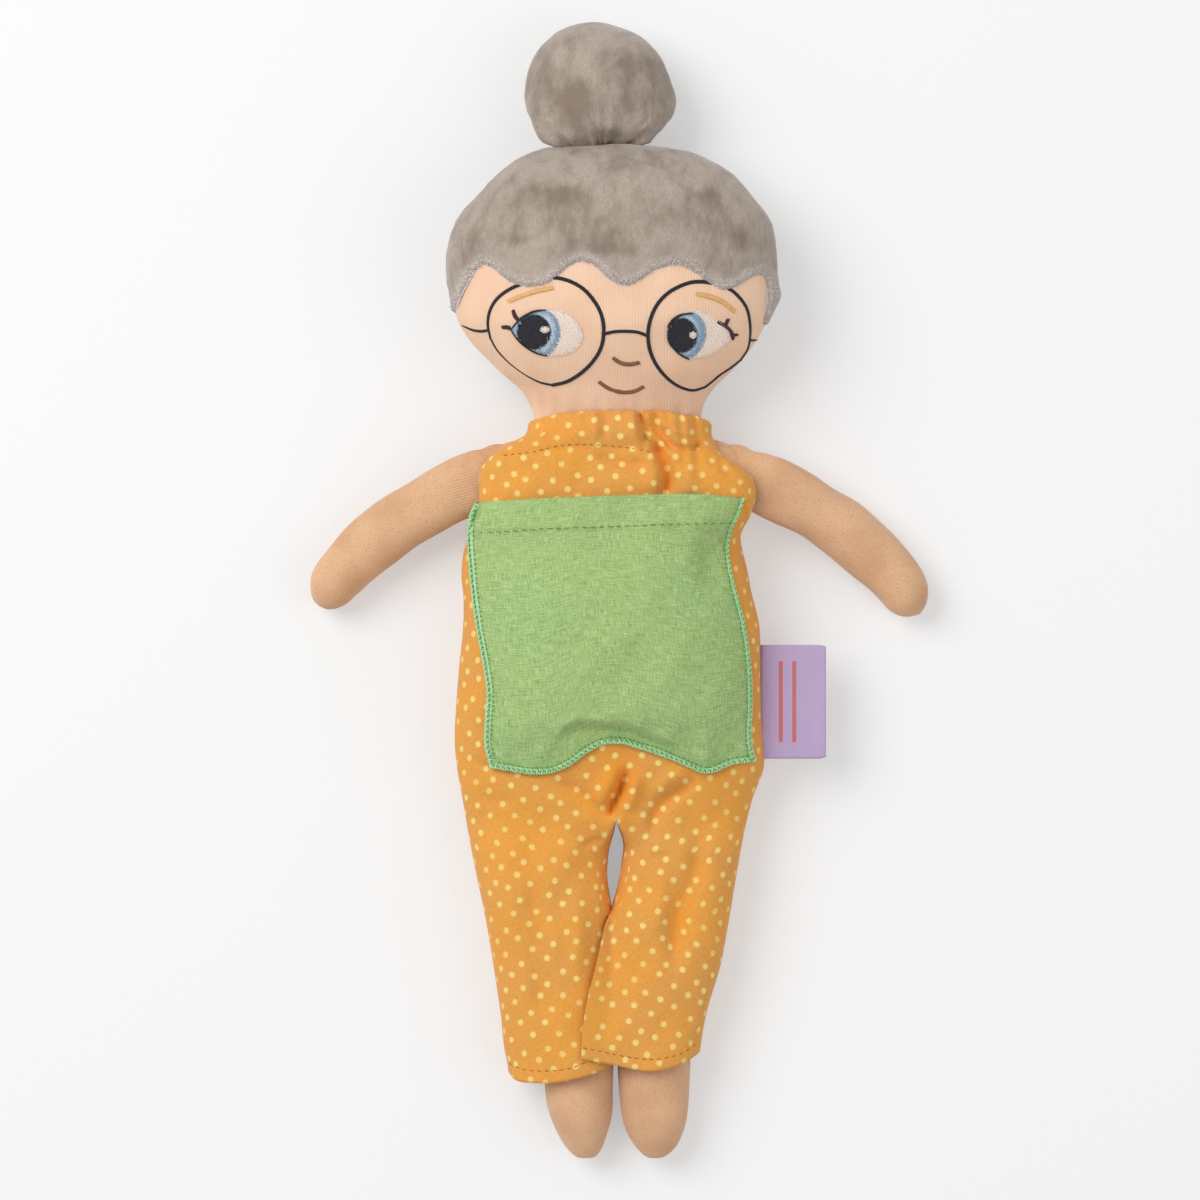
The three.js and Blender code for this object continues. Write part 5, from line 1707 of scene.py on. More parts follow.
@dataclass
class Jumpsuit:
    """The gathered jumpsuit: a bodice that parts at the crotch into two trouser legs."""

    columns: int = 140
    wall_columns: int = 26
    step: float = 1.15
    crotch: float = -85.0
    parting: float = -1.2
    cloth: float = 0.7
    leg_fullness: float = 2.4
    wall_angle: float = 32.0
    legs_apart: tuple[float, float] = (-98.0, -83.0)
    flap_top: float = -112.0
    armhole: tuple[float, float, float] = (21.5, 11.5, 6.5)
    left_edge: tuple[Pair, ...] = (
        (528, 412), (526, 421), (507, 434), (495, 445), (487, 454), (481, 463), (478, 476), (478.5, 492),
        (478, 510), (471, 530), (464, 548), (462, 560), (461, 575), (463, 594), (463, 620), (458, 674),
        (455, 716), (454, 740), (456, 764), (462, 800), (466, 824), (475, 872), (485, 920), (493, 968),
        (500, 1016), (504, 1052), (507, 1067), (508, 1090),
    )
    right_edge: tuple[Pair, ...] = (
        (712, 412), (712, 421), (717, 434), (721, 445), (730, 454), (740, 463), (752.5, 476), (756.5, 492),
        (751, 514), (741, 536), (743, 550), (747, 566), (752.5, 594), (759, 620), (761, 674), (762, 716),
        (763.5, 740), (765, 764), (753, 800), (747, 824), (738, 872), (730, 920), (721, 968), (707, 1016),
        (701, 1052), (700, 1080),
    )
    right_inner: tuple[Pair, ...] = (
        (614.5, 812), (612, 826), (609, 850), (607.5, 880), (611, 903), (613.5, 940), (616, 980), (617, 1062),
        (617, 1090),
    )
    left_inner: tuple[Pair, ...] = (
        (618, 812), (625, 826), (622, 860), (618, 885), (613, 903), (607, 921), (597, 962), (585, 1011),
        (581, 1059), (580, 1080),
    )
    middle_z: tuple[Pair, ...] = (
        (70, 22.8), (50, 22.8), (20, 22.0), (-20, 22.2), (-45, 21.0), (-62, 19.2), (-85, 16.2), (-110, 15.4),
        (-150, 14.6), (-185, 13.8),
    )
    half_z: tuple[Pair, ...] = (
        (70, 18.0), (62, 20.2), (52, 19.6), (40, 20.6), (20, 22.2), (-20, 22.8), (-45, 21.6), (-62, 19.2),
        (-85, 16.4), (-110, 15.8), (-150, 14.6), (-185, 13.4),
    )
    right_hem: tuple[Pair, ...] = (
        (-42.5, -176.0), (-39.4, -181.0), (-30.5, -182.4), (-16.1, -180.7), (-7.0, -178.0), (-1.0, -175.5),
    )
    left_hem: tuple[Pair, ...] = (
        (-14.6, -173.2), (-2.0, -175.6), (11.7, -177.8), (24.0, -175.0), (31.0, -170.6),
    )
    creases: tuple[Crease, ...] = (
        Crease(((638, 404), (641, 418), (647, 430), (642, 447)), 4.2, 1.3),
        Crease(((656, 408), (659, 424), (668, 440)), 2.4, 1.1),
        Crease(((604, 408), (607, 424), (603, 440)), 1.8, 1.2),
        Crease(((625, 412), (629, 428), (627, 444)), 2.0, 2.2, Bend.RIDGE),
        Crease(((650, 436), (661, 455), (667, 478), (662, 506)), 5.6, 1.7),
        Crease(((647, 452), (652, 470), (648, 495)), 1.6, 2.8, Bend.RIDGE),
        Crease(((684, 462), (688, 480), (684, 500)), 1.6, 3.4, Bend.RIDGE),
        Crease(((648, 421), (662, 437), (674, 447), (690, 449), (708, 430)), 3.4, 1.5),
        Crease(((656, 416), (680, 429), (700, 424)), 2.6, 2.4, Bend.RIDGE),
        Crease(((587, 448), (605, 459), (631, 464), (656, 465)), 2.6, 1.4),
        Crease(((556, 436), (590, 430), (622, 434)), 1.0, 2.6, Bend.RIDGE),
        Crease(((690, 455), (715, 462), (738, 480)), 1.6, 1.8),
        Crease(((486, 470), (494, 490), (490, 512)), 1.3, 2.0),
        Crease(((520, 462), (540, 475), (548, 495)), 1.0, 2.0),
        Crease(((560, 458), (574, 474), (580, 494)), 0.7, 1.8),
        Crease(((738, 494), (746, 520), (741, 545), (746, 575)), 2.4, 1.6),
        Crease(((627, 764), (621.5, 786), (612.5, 806), (611, 822)), 7.0, 1.8, fade=0.3),
        Crease(((616, 768), (606, 786), (596, 808)), 2.2, 2.6, Bend.RIDGE),
        Crease(((636, 772), (634, 790), (629, 812)), 2.2, 2.2, Bend.RIDGE),
        Crease(((702, 776), (682, 788), (661, 803), (653, 822), (653, 842)), 2.8, 2.2),
        Crease(((696, 766), (670, 779), (648, 797)), 2.0, 3.0, Bend.RIDGE),
        Crease(((548, 776), (578, 792), (600, 814), (608, 836)), 1.8, 2.4),
        Crease(((544, 790), (566, 808), (584, 834)), 1.4, 3.4, Bend.RIDGE),
        Crease(((608, 838), (593, 841), (580, 847)), 1.3, 1.1),
        Crease(((648, 855.5), (659, 856), (670, 855)), 1.3, 1.0),
        Crease(((698, 816), (696, 870), (680, 914), (674, 962), (672, 1000)), 2.6, 3.8),
        Crease(((664, 850), (660, 900), (650, 950)), 1.3, 3.6, Bend.RIDGE),
        Crease(((530, 820), (536, 900), (541, 980), (545, 1050)), 1.7, 4.0),
        Crease(((576, 880), (578, 940), (574, 1010)), 1.3, 3.6, Bend.RIDGE),
        Crease(((500, 830), (508, 900), (514, 980)), 1.1, 3.4, Bend.RIDGE),
        Crease(((462, 754), (490, 767), (524, 772), (552, 773)), 1.4, 1.8),
        Crease(((690, 1048), (698, 1040), (702, 1026)), 1.2, 1.6),
        Crease(((470, 790), (490, 800), (520, 800)), 0.8, 2.4),
    )

    def centre(self, y: np.ndarray) -> np.ndarray:
        """Gives the X of the parting between the halves."""
        return table_at(((70, 1.0), (40, -0.6), (0, -2.6), (-50, -2.4), (-70, -1.4), (-85, self.parting)), y)

    def fullness(self, y: np.ndarray) -> np.ndarray:
        """Gives how boxy each ring is: most beside the arms."""
        return 2.25 + 1.5 * smoothstep(y, 14, 30) * (1 - smoothstep(y, 50, 60))

    def front(self, places: np.ndarray) -> np.ndarray:
        """Gives the height of the front above the crotch, bridging its creases, for what lies on it.

        Args:
            places: X and Y in millimetres.

        Returns:
            Z in millimetres.
        """
        x, y = places[:, 0], places[:, 1]
        c = self.centre(y)
        edge = np.where(x < c, c - outline_at(self.left_edge, y), outline_at(self.right_edge, y) - c)
        share = np.clip(np.abs(x - c) / edge, 0, 0.9999)
        f = self.fullness(y)
        z = table_at(self.middle_z, y) + table_at(self.half_z, y) * (1 - share**f) ** (1 / f)
        return np.maximum(self.folded(np.column_stack([places, z]), -1)[:, 2], z - 0.3)

    def leg_top(self, places: np.ndarray, grow: float, reach: np.ndarray) -> np.ndarray:
        """Gives the height of the right trouser leg, which the left one overlaps.

        Args:
            places: X and Y in millimetres.
            grow: How far outside its cloth the height is read.
            reach: Where it has fallen to the floor, in half widths of the leg.

        Returns:
            Z in millimetres, or the floor beside the leg.
        """
        x, y = places[..., 0], places[..., 1]
        inner, outer = outline_at(self.right_inner, y), outline_at(self.left_edge, y)
        middle, half = (inner + outer) / 2, (inner - outer) / 2 + grow
        share, f = np.abs(x - middle) / half, self.leg_fullness
        top = (table_at(self.half_z, y) + grow) * (1 - np.clip(share, 0, 1) ** f) ** (1 / f)
        return (table_at(self.middle_z, y) + top) * (1 - smoothstep(share, 1.0, reach))

    def ring(self, side: int, y: np.ndarray, s: np.ndarray, wall: bool) -> np.ndarray:
        """Gives points of one half of the suit.

        Args:
            side: -1 for the doll's right half, and 1 for its left.
            y: Heights along the doll.
            s: Shares of the way from the centre front to the centre back, or up the inner wall.
            wall: Whether the points are on the inner wall of the leg.

        Returns:
            The points in millimetres.
        """
        c, zm, half = self.centre(y), table_at(self.middle_z, y), table_at(self.half_z, y)
        outer = outline_at(self.left_edge if side < 0 else self.right_edge, y)
        width, power = np.abs(outer - c), 2 / self.fullness(y)
        if wall:
            bx, bz = c, zm + half * (2 * s - 1)
        else:
            bx = c + side * width * signed_power(np.sin(math.pi * s), power)
            bz = zm + half * signed_power(np.cos(math.pi * s), power)
        inner = outline_at(self.right_inner if side < 0 else self.left_inner, np.minimum(y, self.crotch + 1))
        middle, span = (inner + outer) / 2, np.abs(outer - inner) / 2
        start, power = math.radians(self.wall_angle), 2 / self.leg_fullness
        turn = (2 * math.pi - start + 2 * start * s) if wall else (start + (2 * math.pi - 2 * start) * s)
        lx = middle - side * span * signed_power(np.cos(turn), power)
        lz = zm + half * signed_power(np.sin(turn), power)
        share = 1 - smoothstep(y, *self.legs_apart)
        return np.stack([bx + (lx - bx) * share, y, bz + (lz - bz) * share], -1)

    def folded(self, place: np.ndarray, side: int) -> np.ndarray:
        """Adds gathers and creases, and keeps the cloth above the floor and off the other leg.

        Args:
            place: Points in millimetres.
            side: -1 for the doll's right half, and 1 for its left.

        Returns:
            The points in millimetres.
        """
        x, y, z = place[..., 0], place[..., 1], place[..., 2]
        facing = np.clip((z - table_at(self.middle_z, y)) / table_at(self.half_z, y), -1, 1)
        lift = np.zeros_like(x)
        for crease in self.creases:
            lift += crease.height(place[..., :2])
        waves = np.cos(x * 0.62 + 2.2 * np.sin(x * 0.13 + 1)) + np.cos(x * 1.27 + 0.7 + y * 0.08) * 0.7
        gather = (0.55 + 0.45 * smoothstep(x, -4, 14)) * waves
        lift += gather * smoothstep(y, 40, 56)
        lift += lumps(place, 30, 51) * 0.7 * (1 - smoothstep(y, 40, 55)) + lumps(place, 12, 52) * 0.22
        seam = (y - 51.6 - 1.4 * np.cos((x + 6) * 0.06)) / 0.9
        lift -= 0.75 * np.exp(-(seam**2)) * smoothstep(-x, -26, -14)
        out = np.stack([x, y, z + lift * smoothstep(facing, 0.05, 0.75)], -1)
        out[..., 2] += lumps(place, 16, 53) * 0.5 * smoothstep(-facing, 0.1, 0.8)
        drop = 4.4 * smoothstep(y, 38, 64) * (1 - np.clip(np.abs(facing), 0, 1) ** 1.5)
        out[..., 1] -= drop + gather * 0.35 * smoothstep(y, 54, 65)
        if side > 0:
            out[..., 2] = self.lapped(out, facing > 0)
        out[..., 2] = above_floor(out[..., 2])
        return out

    def lapped(self, place: np.ndarray, upper: np.ndarray) -> np.ndarray:
        """Lays the left trouser leg over the right one.

        Args:
            place: Points of the left half in millimetres.
            upper: Whether each is on the cloth's front, which lies over its back.

        Returns:
            Z of each point.
        """
        z, depth = place[..., 2], self.flap_top - place[..., 1]
        need = self.leg_top(place[..., :2], 1.4, np.where(upper, 1.3, 1.08)) * (depth > 0)
        rise = smoothstep(depth, 0, 10)
        under = (need + np.where(upper, 1.1, 0.0)) * rise
        gap, soft = (z - under) / 2, np.where(upper, 1.5, 0.1) * rise
        over = (z + under) / 2 + np.sqrt(gap * gap + soft * soft)
        return z + (over - z) * smoothstep(need, 0, 3)

    def hoop(self, side: int, y: float, inset: float, s: np.ndarray) -> np.ndarray:
        """Gives one level of half the bodice.

        Args:
            side: -1 for the doll's right half, and 1 for its left.
            y: The level's height along the doll.
            inset: How far inside the outer face it lies, in millimetres.
            s: Shares of the way from the centre front to the centre back.

        Returns:
            The points in millimetres.
        """
        ring = self.ring(side, np.full(len(s), y), s, False)
        axis = np.array([float(self.centre(y)), 0, float(table_at(self.middle_z, y))])
        away = (ring - axis) * [1, 0, 1]
        return ring - away / np.maximum(np.linalg.norm(away, axis=1)[:, None], 1e-6) * inset

    def fold_shade(self, smooth: np.ndarray, grid: np.ndarray) -> np.ndarray:
        """Gives the painted shade of the folds: how far the cloth lies in a fold or near the crotch.

        Args:
            smooth: Its points before it is folded.
            grid: Its points after that.

        Returns:
            From 0 to 1 for each point.
        """
        x, y = smooth[..., 0], smooth[..., 1]
        fold = np.clip((smooth[..., 2] - grid[..., 2]) / 4.5, 0, 1)
        near = np.exp(-((x / 9) ** 2 + ((y + 70) / 13) ** 2))
        return np.clip(0.6 * fold + 0.85 * near, 0, 1)

    def half(self, side: int) -> list[tuple[np.ndarray, np.ndarray]]:
        """Makes one half's grids, from the collar to the hem and up the leg's inner wall.

        Args:
            side: -1 for the doll's right half, and 1 for its left.

        Returns:
            For each grid, its smooth points and how far across the flat cloth they lie.
        """
        lining = [(58.5, 2.6), (62.0, 2.6), (65.2, 2.0), (66.4, 1.1), (66.8, 0.4)]
        upper = [(y, 0.0) for y in np.arange(66.4, self.crotch, -self.step)]
        split = len(lining) + len(upper)
        lower = np.linspace(0, 1, int((180 + self.crotch) / self.step) + 1)
        s = np.linspace(0, 1, self.columns)
        rows = [self.hoop(side, y, inset, s) for y, inset in lining + upper]
        hem = self.right_hem if side < 0 else self.left_hem
        low = float(np.mean([p[1] for p in hem]))
        inner_s = np.linspace(0, 1, self.wall_columns)[1:-1]
        wall_rows = []
        hem_ring = self.ring(side, np.full(self.columns, low), s, False)
        hem_wall = self.ring(side, np.full(len(inner_s), low), inner_s, True)
        parts = ((rows, hem_ring, s, False), (wall_rows, hem_wall, inner_s, True))
        for share in lower:
            for target, base, where, inward in parts:
                y = self.crotch + share * (table_at(hem, base[:, 0]) - self.crotch)
                target.append(self.ring(side, y, where, inward))
        main, wall = np.stack(rows), np.stack(wall_rows)
        closed = np.concatenate([main[split:, -1:], wall, main[split:, :1]], axis=1)
        across = main[:, :1, 0] + side * self.cloth_run(main, side)
        inner = across[split:, -1:] + side * self.cloth_run(closed, side)
        return [(main, across), (closed, inner)]

    def cloth_run(self, smooth: np.ndarray, side: int) -> np.ndarray:
        """Measures the cloth across each row, and below the flap's top as it lies on the other leg."""
        low = smoothstep(-smooth[..., 1], 110, 124) * (side > 0)
        return run_across(smooth) * (1 - low) + run_across(self.folded(smooth, side)) * low

    def build(self) -> None:
        """Makes the whole garment and parts it into its bodies' pieces."""
        points, faces, cloth, fold_shade, halves = [], [], [], [], []
        count = 0
        for side in (-1, 1):
            for smooth, u in self.half(side):
                grid = self.folded(smooth, side)
                faces += [face[::-side] for face in grid_faces(*u.shape, count)]
                points.append(grid.reshape(-1, 3))
                cloth.append(np.stack([u, smooth[..., 1]], -1).reshape(-1, 2))
                # Painted shade of the folds, which the cotton reads as an attribute.
                fold_shade.append(self.fold_shade(smooth, grid).ravel())
                halves.append(np.full(u.size, float(side)))
                count += u.size
        whole = piece_from("jumpsuit", np.vstack(points), faces, "cotton", np.vstack(cloth),
                           {"fold_shade": np.concatenate(fold_shade), "half": np.concatenate(halves)})
        self.open_armholes(whole)
        thicken(whole, self.cloth)
        self.part(whole)

    def open_armholes(self, whole: bpy.types.Object) -> None:
        """Takes out the cloth where the arms come through.

        Args:
            whole: The garment.
        """
        shell = bmesh.new()
        shell.from_mesh(whole.data)
        gone = []
        level, length, height = self.armhole
        for face in shell.faces:
            x, y, z = (v / MM for v in face.calc_center_median())
            middle = 39.5 if x < 0 else 38.0
            if abs(x) > 38 and ((y - middle) / length) ** 2 + ((z - level) / height) ** 2 < 1:
                gone.append(face)
        bmesh.ops.delete(shell, geom=gone, context="FACES")
        shell.to_mesh(whole.data)
        shell.free()

    def part(self, whole: bpy.types.Object) -> None:
        """Cuts the finished garment into its pieces: the bodice, and a thigh and a trouser leg on each side.

        Args:
            whole: The garment, which is removed.
        """
        mesh = whole.data
        count = len(mesh.vertices)
        place = places_of(mesh)[np.arange(count) % (count // 2)]
        normals = np.empty(count * 3, np.float32)
        mesh.vertex_normals.foreach_get("vector", normals)
        normals = normals.reshape(-1, 3)
        halves = np.empty(count, np.float32)
        mesh.attributes["half"].data.foreach_get("value", halves)
        mesh.attributes.remove(mesh.attributes["half"])
        bands, zone = {}, {}
        start = np.array([self.parting, self.crotch, 15.0])
        for side, name in ((-1, "right"), (1, "left")):
            end = start + unit(np.array([[side * 0.36, -0.93, 0.0]]))[0] * 15.5
            bands[name] = (start, end)
            zone[name] = (place - start) @ (end - start) / ((end - start) @ (end - start))
        names = ("jumpsuit_bodice", "right_thigh", "left_thigh", "right_trouser", "left_trouser")
        groups: dict[str, list[int]] = {key: [] for key in names}
        for face in mesh.polygons:
            ids = list(face.vertices)
            x, y = place[ids, :2].mean(axis=0)
            name = "right" if (x - self.parting if y > self.crotch else halves[ids].mean()) < 0 else "left"
            t = zone[name][ids]
            if t.min() >= 1:
                groups[f"{name}_trouser"].append(face.index)
            elif t.max() > 0:
                groups[f"{name}_thigh"].append(face.index)
            else:
                groups["jumpsuit_bodice"].append(face.index)
        for name, kept in groups.items():
            self.attach(self.cut_out(whole, name, kept, normals), name, bands)
        bpy.data.objects.remove(whole)

    def cut_out(
        self, whole: bpy.types.Object, name: str, kept: list[int], normals: np.ndarray
    ) -> bpy.types.Object:
        """Copies some faces of the garment as a piece that keeps the garment's shading.

        Args:
            whole: The garment.
            name: The piece's name.
            kept: The faces that it keeps.
            normals: The garment's normals at its points.

        Returns:
            The piece.
        """
        mesh = whole.data.copy()
        mesh.name = name
        shell = bmesh.new()
        shell.from_mesh(mesh)
        shell.faces.ensure_lookup_table()
        wanted = set(kept)
        marker = shell.verts.layers.int.new("source")
        for vert in shell.verts:
            vert[marker] = vert.index
        bmesh.ops.delete(shell, geom=[f for f in shell.faces if f.index not in wanted], context="FACES")
        self.close_cut(shell, {vert[marker]: vert for vert in shell.verts}, marker, len(normals) // 2)
        source = [vert[marker] for vert in shell.verts]
        shell.verts.layers.int.remove(marker)
        shell.to_mesh(mesh)
        shell.free()
        mesh.normals_split_custom_set_from_vertices(normals[source].tolist())
        piece = bpy.data.objects.new(name, mesh)
        bpy.context.scene.collection.objects.link(piece)
        return piece

    def close_cut(self, shell: bmesh.types.BMesh, kept: dict[int, bmesh.types.BMVert], marker: object,
                  inner: int) -> None:
        """Closes the cloth's cut edge between its outer and inner faces.

        Args:
            shell: The piece.
            kept: Its points by their number in the garment.
            marker: The layer that holds those numbers.
            inner: What is added to an outer point's number for the inner one.
        """
        for edge in [e for e in shell.edges if e.is_boundary and all(v[marker] < inner for v in e.verts)]:
            loop = edge.link_loops[0]
            first, second = loop.vert, loop.link_loop_next.vert
            pair = [kept.get(vert[marker] + inner) for vert in (first, second)]
            corners = (second, first, *pair)
            if None not in pair and shell.faces.get(corners) is None:
                shell.faces.new(corners).smooth = True

    def attach(
        self, piece: bpy.types.Object, name: str, bands: dict[str, tuple[np.ndarray, np.ndarray]]
    ) -> None:
        """Puts one piece of the garment on its body or bodies.

        Args:
            piece: The piece.
            name: Its name.
            bands: For each side, two points from the torso to the leg, which are passed on but not used.
        """
        side = name.split("_")[0]
        if name == "jumpsuit_bodice":
            nodes = ["jumpsuit_front", "jumpsuit_back", "jumpsuit_seat", "neck_casing"]
            dressed(piece, "torso", replaces=nodes)
        elif name.endswith("thigh"):
            dressed(piece, replaces=["jumpsuit_seat"],
                    blend=("torso", f"{side}_leg_root", *bands[side]))
        else:
            nodes = [f"{side}_trouser_front", f"{side}_trouser_back"]
            dressed(piece, replaces=nodes, blend=trouser_band(side))


@dataclass
class Elastic:
    """The flat elastic inside the neck casing."""

    suit: Jumpsuit
    levels: tuple[float, float] = (56.4, 62.0)
    inset: float = 1.5

    def build(self) -> None:
        """Makes the band."""
        s = np.linspace(0, 1, 80)
        rows = []
        for y in np.linspace(*self.levels, 7):
            right, left = (self.suit.hoop(side, y, self.inset, s) for side in (-1, 1))
            rows.append(np.vstack([right[::-1], left[1:]]))
        grid = self.suit.folded(np.stack(rows), -1)
        band = piece_from("neck_elastic_band", grid.reshape(-1, 3), grid_faces(*grid.shape[:2]), "elastic")
        thicken(band, 0.5)
        dressed(band, "torso", replaces=["neck_elastic"])


@dataclass
class Pocket:
    """The linen patch pocket with its hem and stitched edging."""

    suit: Jumpsuit
    tree: bpy.types.GeometryNodeTree
    count: int = 110
    bulge: float = 7.4
    cloth: tuple[float, float] = (98.0, 99.0)
    left: tuple[Pair, ...] = (
        (491, 766), (486, 745), (486.5, 720), (488, 690), (484, 662), (478, 630), (473.5, 600), (469.5, 560),
        (468.5, 530), (471, 512), (476, 502),
    )
    right: tuple[Pair, ...] = (
        (754.5, 760), (750.5, 740), (751, 700), (749, 660), (743, 622), (735, 592), (729, 566), (727, 546),
        (730, 530), (737, 514), (742.5, 498),
    )
    bottom: tuple[Pair, ...] = (
        (491, 766), (515, 770), (535, 772.5), (555, 770), (572, 762), (588, 750), (602, 743), (618, 741.5),
        (640, 747), (665, 755.5), (688, 765), (704, 771.5), (715, 770), (730, 763.5), (754.5, 760),
    )
    top: tuple[Pair, ...] = ((476, 502), (520, 499.5), (580, 496.8), (640, 495), (700, 494), (742.5, 498))
    folds: tuple[Crease, ...] = (
        Crease(((556, 744), (563, 731), (574, 724), (592, 723), (616, 727), (650, 737), (684, 750)), 2.4, 2.6,
               Bend.STEP, 0.2),
        Crease(((586, 713), (620, 716), (660, 727)), 2.6, 5.0, Bend.RIDGE),
        Crease(((590, 738), (620, 733), (654, 742)), 4.2, 3.0),
        Crease(((707, 766), (708, 750), (700, 728)), 2.0, 2.6, Bend.RIDGE),
        Crease(((694, 752), (690, 738), (680, 724)), 1.2, 3.0),
        Crease(((540, 764), (546, 748), (556, 736)), 1.0, 3.0, Bend.RIDGE),
        Crease(((492, 690), (510, 700), (540, 705)), 0.7, 5.0),
        Crease(((722, 530), (708, 556), (712, 604)), 1.6, 3.6),
        Crease(((700, 505), (694, 540), (684, 580)), 1.0, 4.5, Bend.RIDGE),
        Crease(((500, 540), (540, 600), (600, 640)), 0.5, 8.0, Bend.RIDGE),
    )

    def place(self, u: np.ndarray, v: np.ndarray) -> np.ndarray:
        """Gives flat places of the pocket.

        Args:
            u: Shares of the way across from its left.
            v: Shares of the way up from its bottom.

        Returns:
            X and Y in millimetres.
        """
        share = np.linspace(0, 1, 300)

        def read(edge: np.ndarray, t: np.ndarray) -> np.ndarray:
            """Reads an edge at shares of its length."""
            return np.stack([np.interp(t, share, edge[:, k]) for k in (0, 1)], -1)

        lines = (self.left, self.right, self.bottom, self.top)
        left, right, bottom, top = (smooth_run(spots(line), len(share)) for line in lines)
        a, b = u[..., None], v[..., None]
        sides = (1 - a) * read(left, v) + a * read(right, v)
        ends = (1 - b) * read(bottom, u) + b * read(top, u)
        corners = (1 - b) * ((1 - a) * left[0] + a * right[0]) + b * ((1 - a) * left[-1] + a * right[-1])
        return sides + ends - corners

    def height(self, u: np.ndarray, v: np.ndarray, flat: np.ndarray) -> np.ndarray:
        """Gives how far the pocket stands off the suit.

        Args:
            u: Shares of the way across from its left.
            v: Shares of the way up from its bottom.
            flat: X and Y of the same places.

        Returns:
            The lift in millimetres.
        """
        across = (1 - np.abs(2 * u - 1) ** 3.4) * (1 - 0.25 * smoothstep(u, 0.9, 1.0))
        up = smoothstep(v, -0.02, 0.2) * (1 - 0.45 * smoothstep(v, 0.6, 1.0))
        lift = 0.9 + self.bulge * across * up
        for fold in self.folds:
            lift = lift + fold.height(flat) * smoothstep(v, 0.0, 0.06)
        hem = 0.45 * smoothstep(flat[..., 1], 22.0, 22.8)
        swell = lumps(np.concatenate([flat, u[..., None] * 0], -1), 40, 61) * 0.5 * across
        return np.maximum(lift, 0.9) + hem + swell

    def surface(self, places: np.ndarray) -> np.ndarray:
        """Gives the pocket's height over flat places, for what is stitched on it.

        Args:
            places: X and Y in millimetres.

        Returns:
            Z in millimetres.
        """
        low, high = outline_at(self.left, places[:, 1]), outline_at(self.right, places[:, 1])
        u = np.clip((places[:, 0] - low) / (high - low), 0, 1)
        floor, top = (np.interp(places[:, 0], *spots(line).T) for line in (self.bottom, self.top))
        v = np.clip((places[:, 1] - floor) / (top - floor), 0, 1)
        return self.suit.front(places) + self.height(u, v, places)

    def build(self) -> None:
        """Makes the pocket, its edging and its hem stitches."""
        line = np.linspace(0, 1, self.count)
        v, u = np.meshgrid(line, line, indexing="ij")
        flat = self.place(u, v)
        z = self.suit.front(flat.reshape(-1, 2)).reshape(u.shape) + self.height(u, v, flat)
        grid = np.concatenate([flat, z[..., None]], -1)
        cloth = np.stack([u, v], -1) * self.cloth
        sheet = piece_from("pocket_cloth", grid.reshape(-1, 3), grid_faces(self.count, self.count), "linen",
                           cloth.reshape(-1, 2))
        outward(sheet, (-4, -15, 10))
        thicken(sheet, 0.8)
        dressed(sheet, "torso", replaces=["pocket"])
        edging = self.edging()
        hem = Stitches(self.surface, self.tree)
        hem.dashes(spots(((474, 531.5), (540, 529), (600, 527), (660, 525), (729, 522))), 2.5, 0.5, 0.7)
        row = hem.piece("pocket_hem_stitches", "green", 0.36, 0.26)
        dressed(row, "torso")

    def edging(self) -> list[bpy.types.Object]:
        """Makes the mint overcast edge and the darker stitch line inside it.

        Returns:
            The two pieces.
        """
        mint, green = Stitches(self.surface, self.tree), Stitches(self.surface, self.tree)
        for pixels, start, end in ((self.left[::-1], 2.3, 2.3), (self.bottom, 2.2, 2.0),
                                   (self.right, 1.9, 0.9)):
            rough = smooth_run(spots(pixels), 60)
            run = smooth_run(rough, int(length_of(rough) / 0.95))
            heading, inner = course(run)
            width = np.linspace(start, end, len(run))[:, None]
            middle = run + inner * (width / 2 - 0.5)
            mint.ribbon(middle, width[:, 0] * 0.9, 0.5)
            mint.lay(middle, heading * 0.35 + inner, width[:, 0] * 1.08, 0.72)
            green.dashes((run + inner * (width + 0.1))[3:-3], 1.15, 0.55, 0.6)
            green.lay((middle + inner * width * 0.2)[1:-1:2], (inner - heading * 0.9)[1:-1:2],
                      width[1:-1:2, 0] * 0.8, 0.95)
        edge = mint.piece("pocket_edge_stitches", "mint", 0.86, 0.55, 0.2, 3)
        dressed(edge, "torso", replaces=["pocket_edging"])
        line = green.piece("pocket_seam_stitches", "green", 0.42, 0.32)
        dressed(line, "torso")
        return [edge, line]


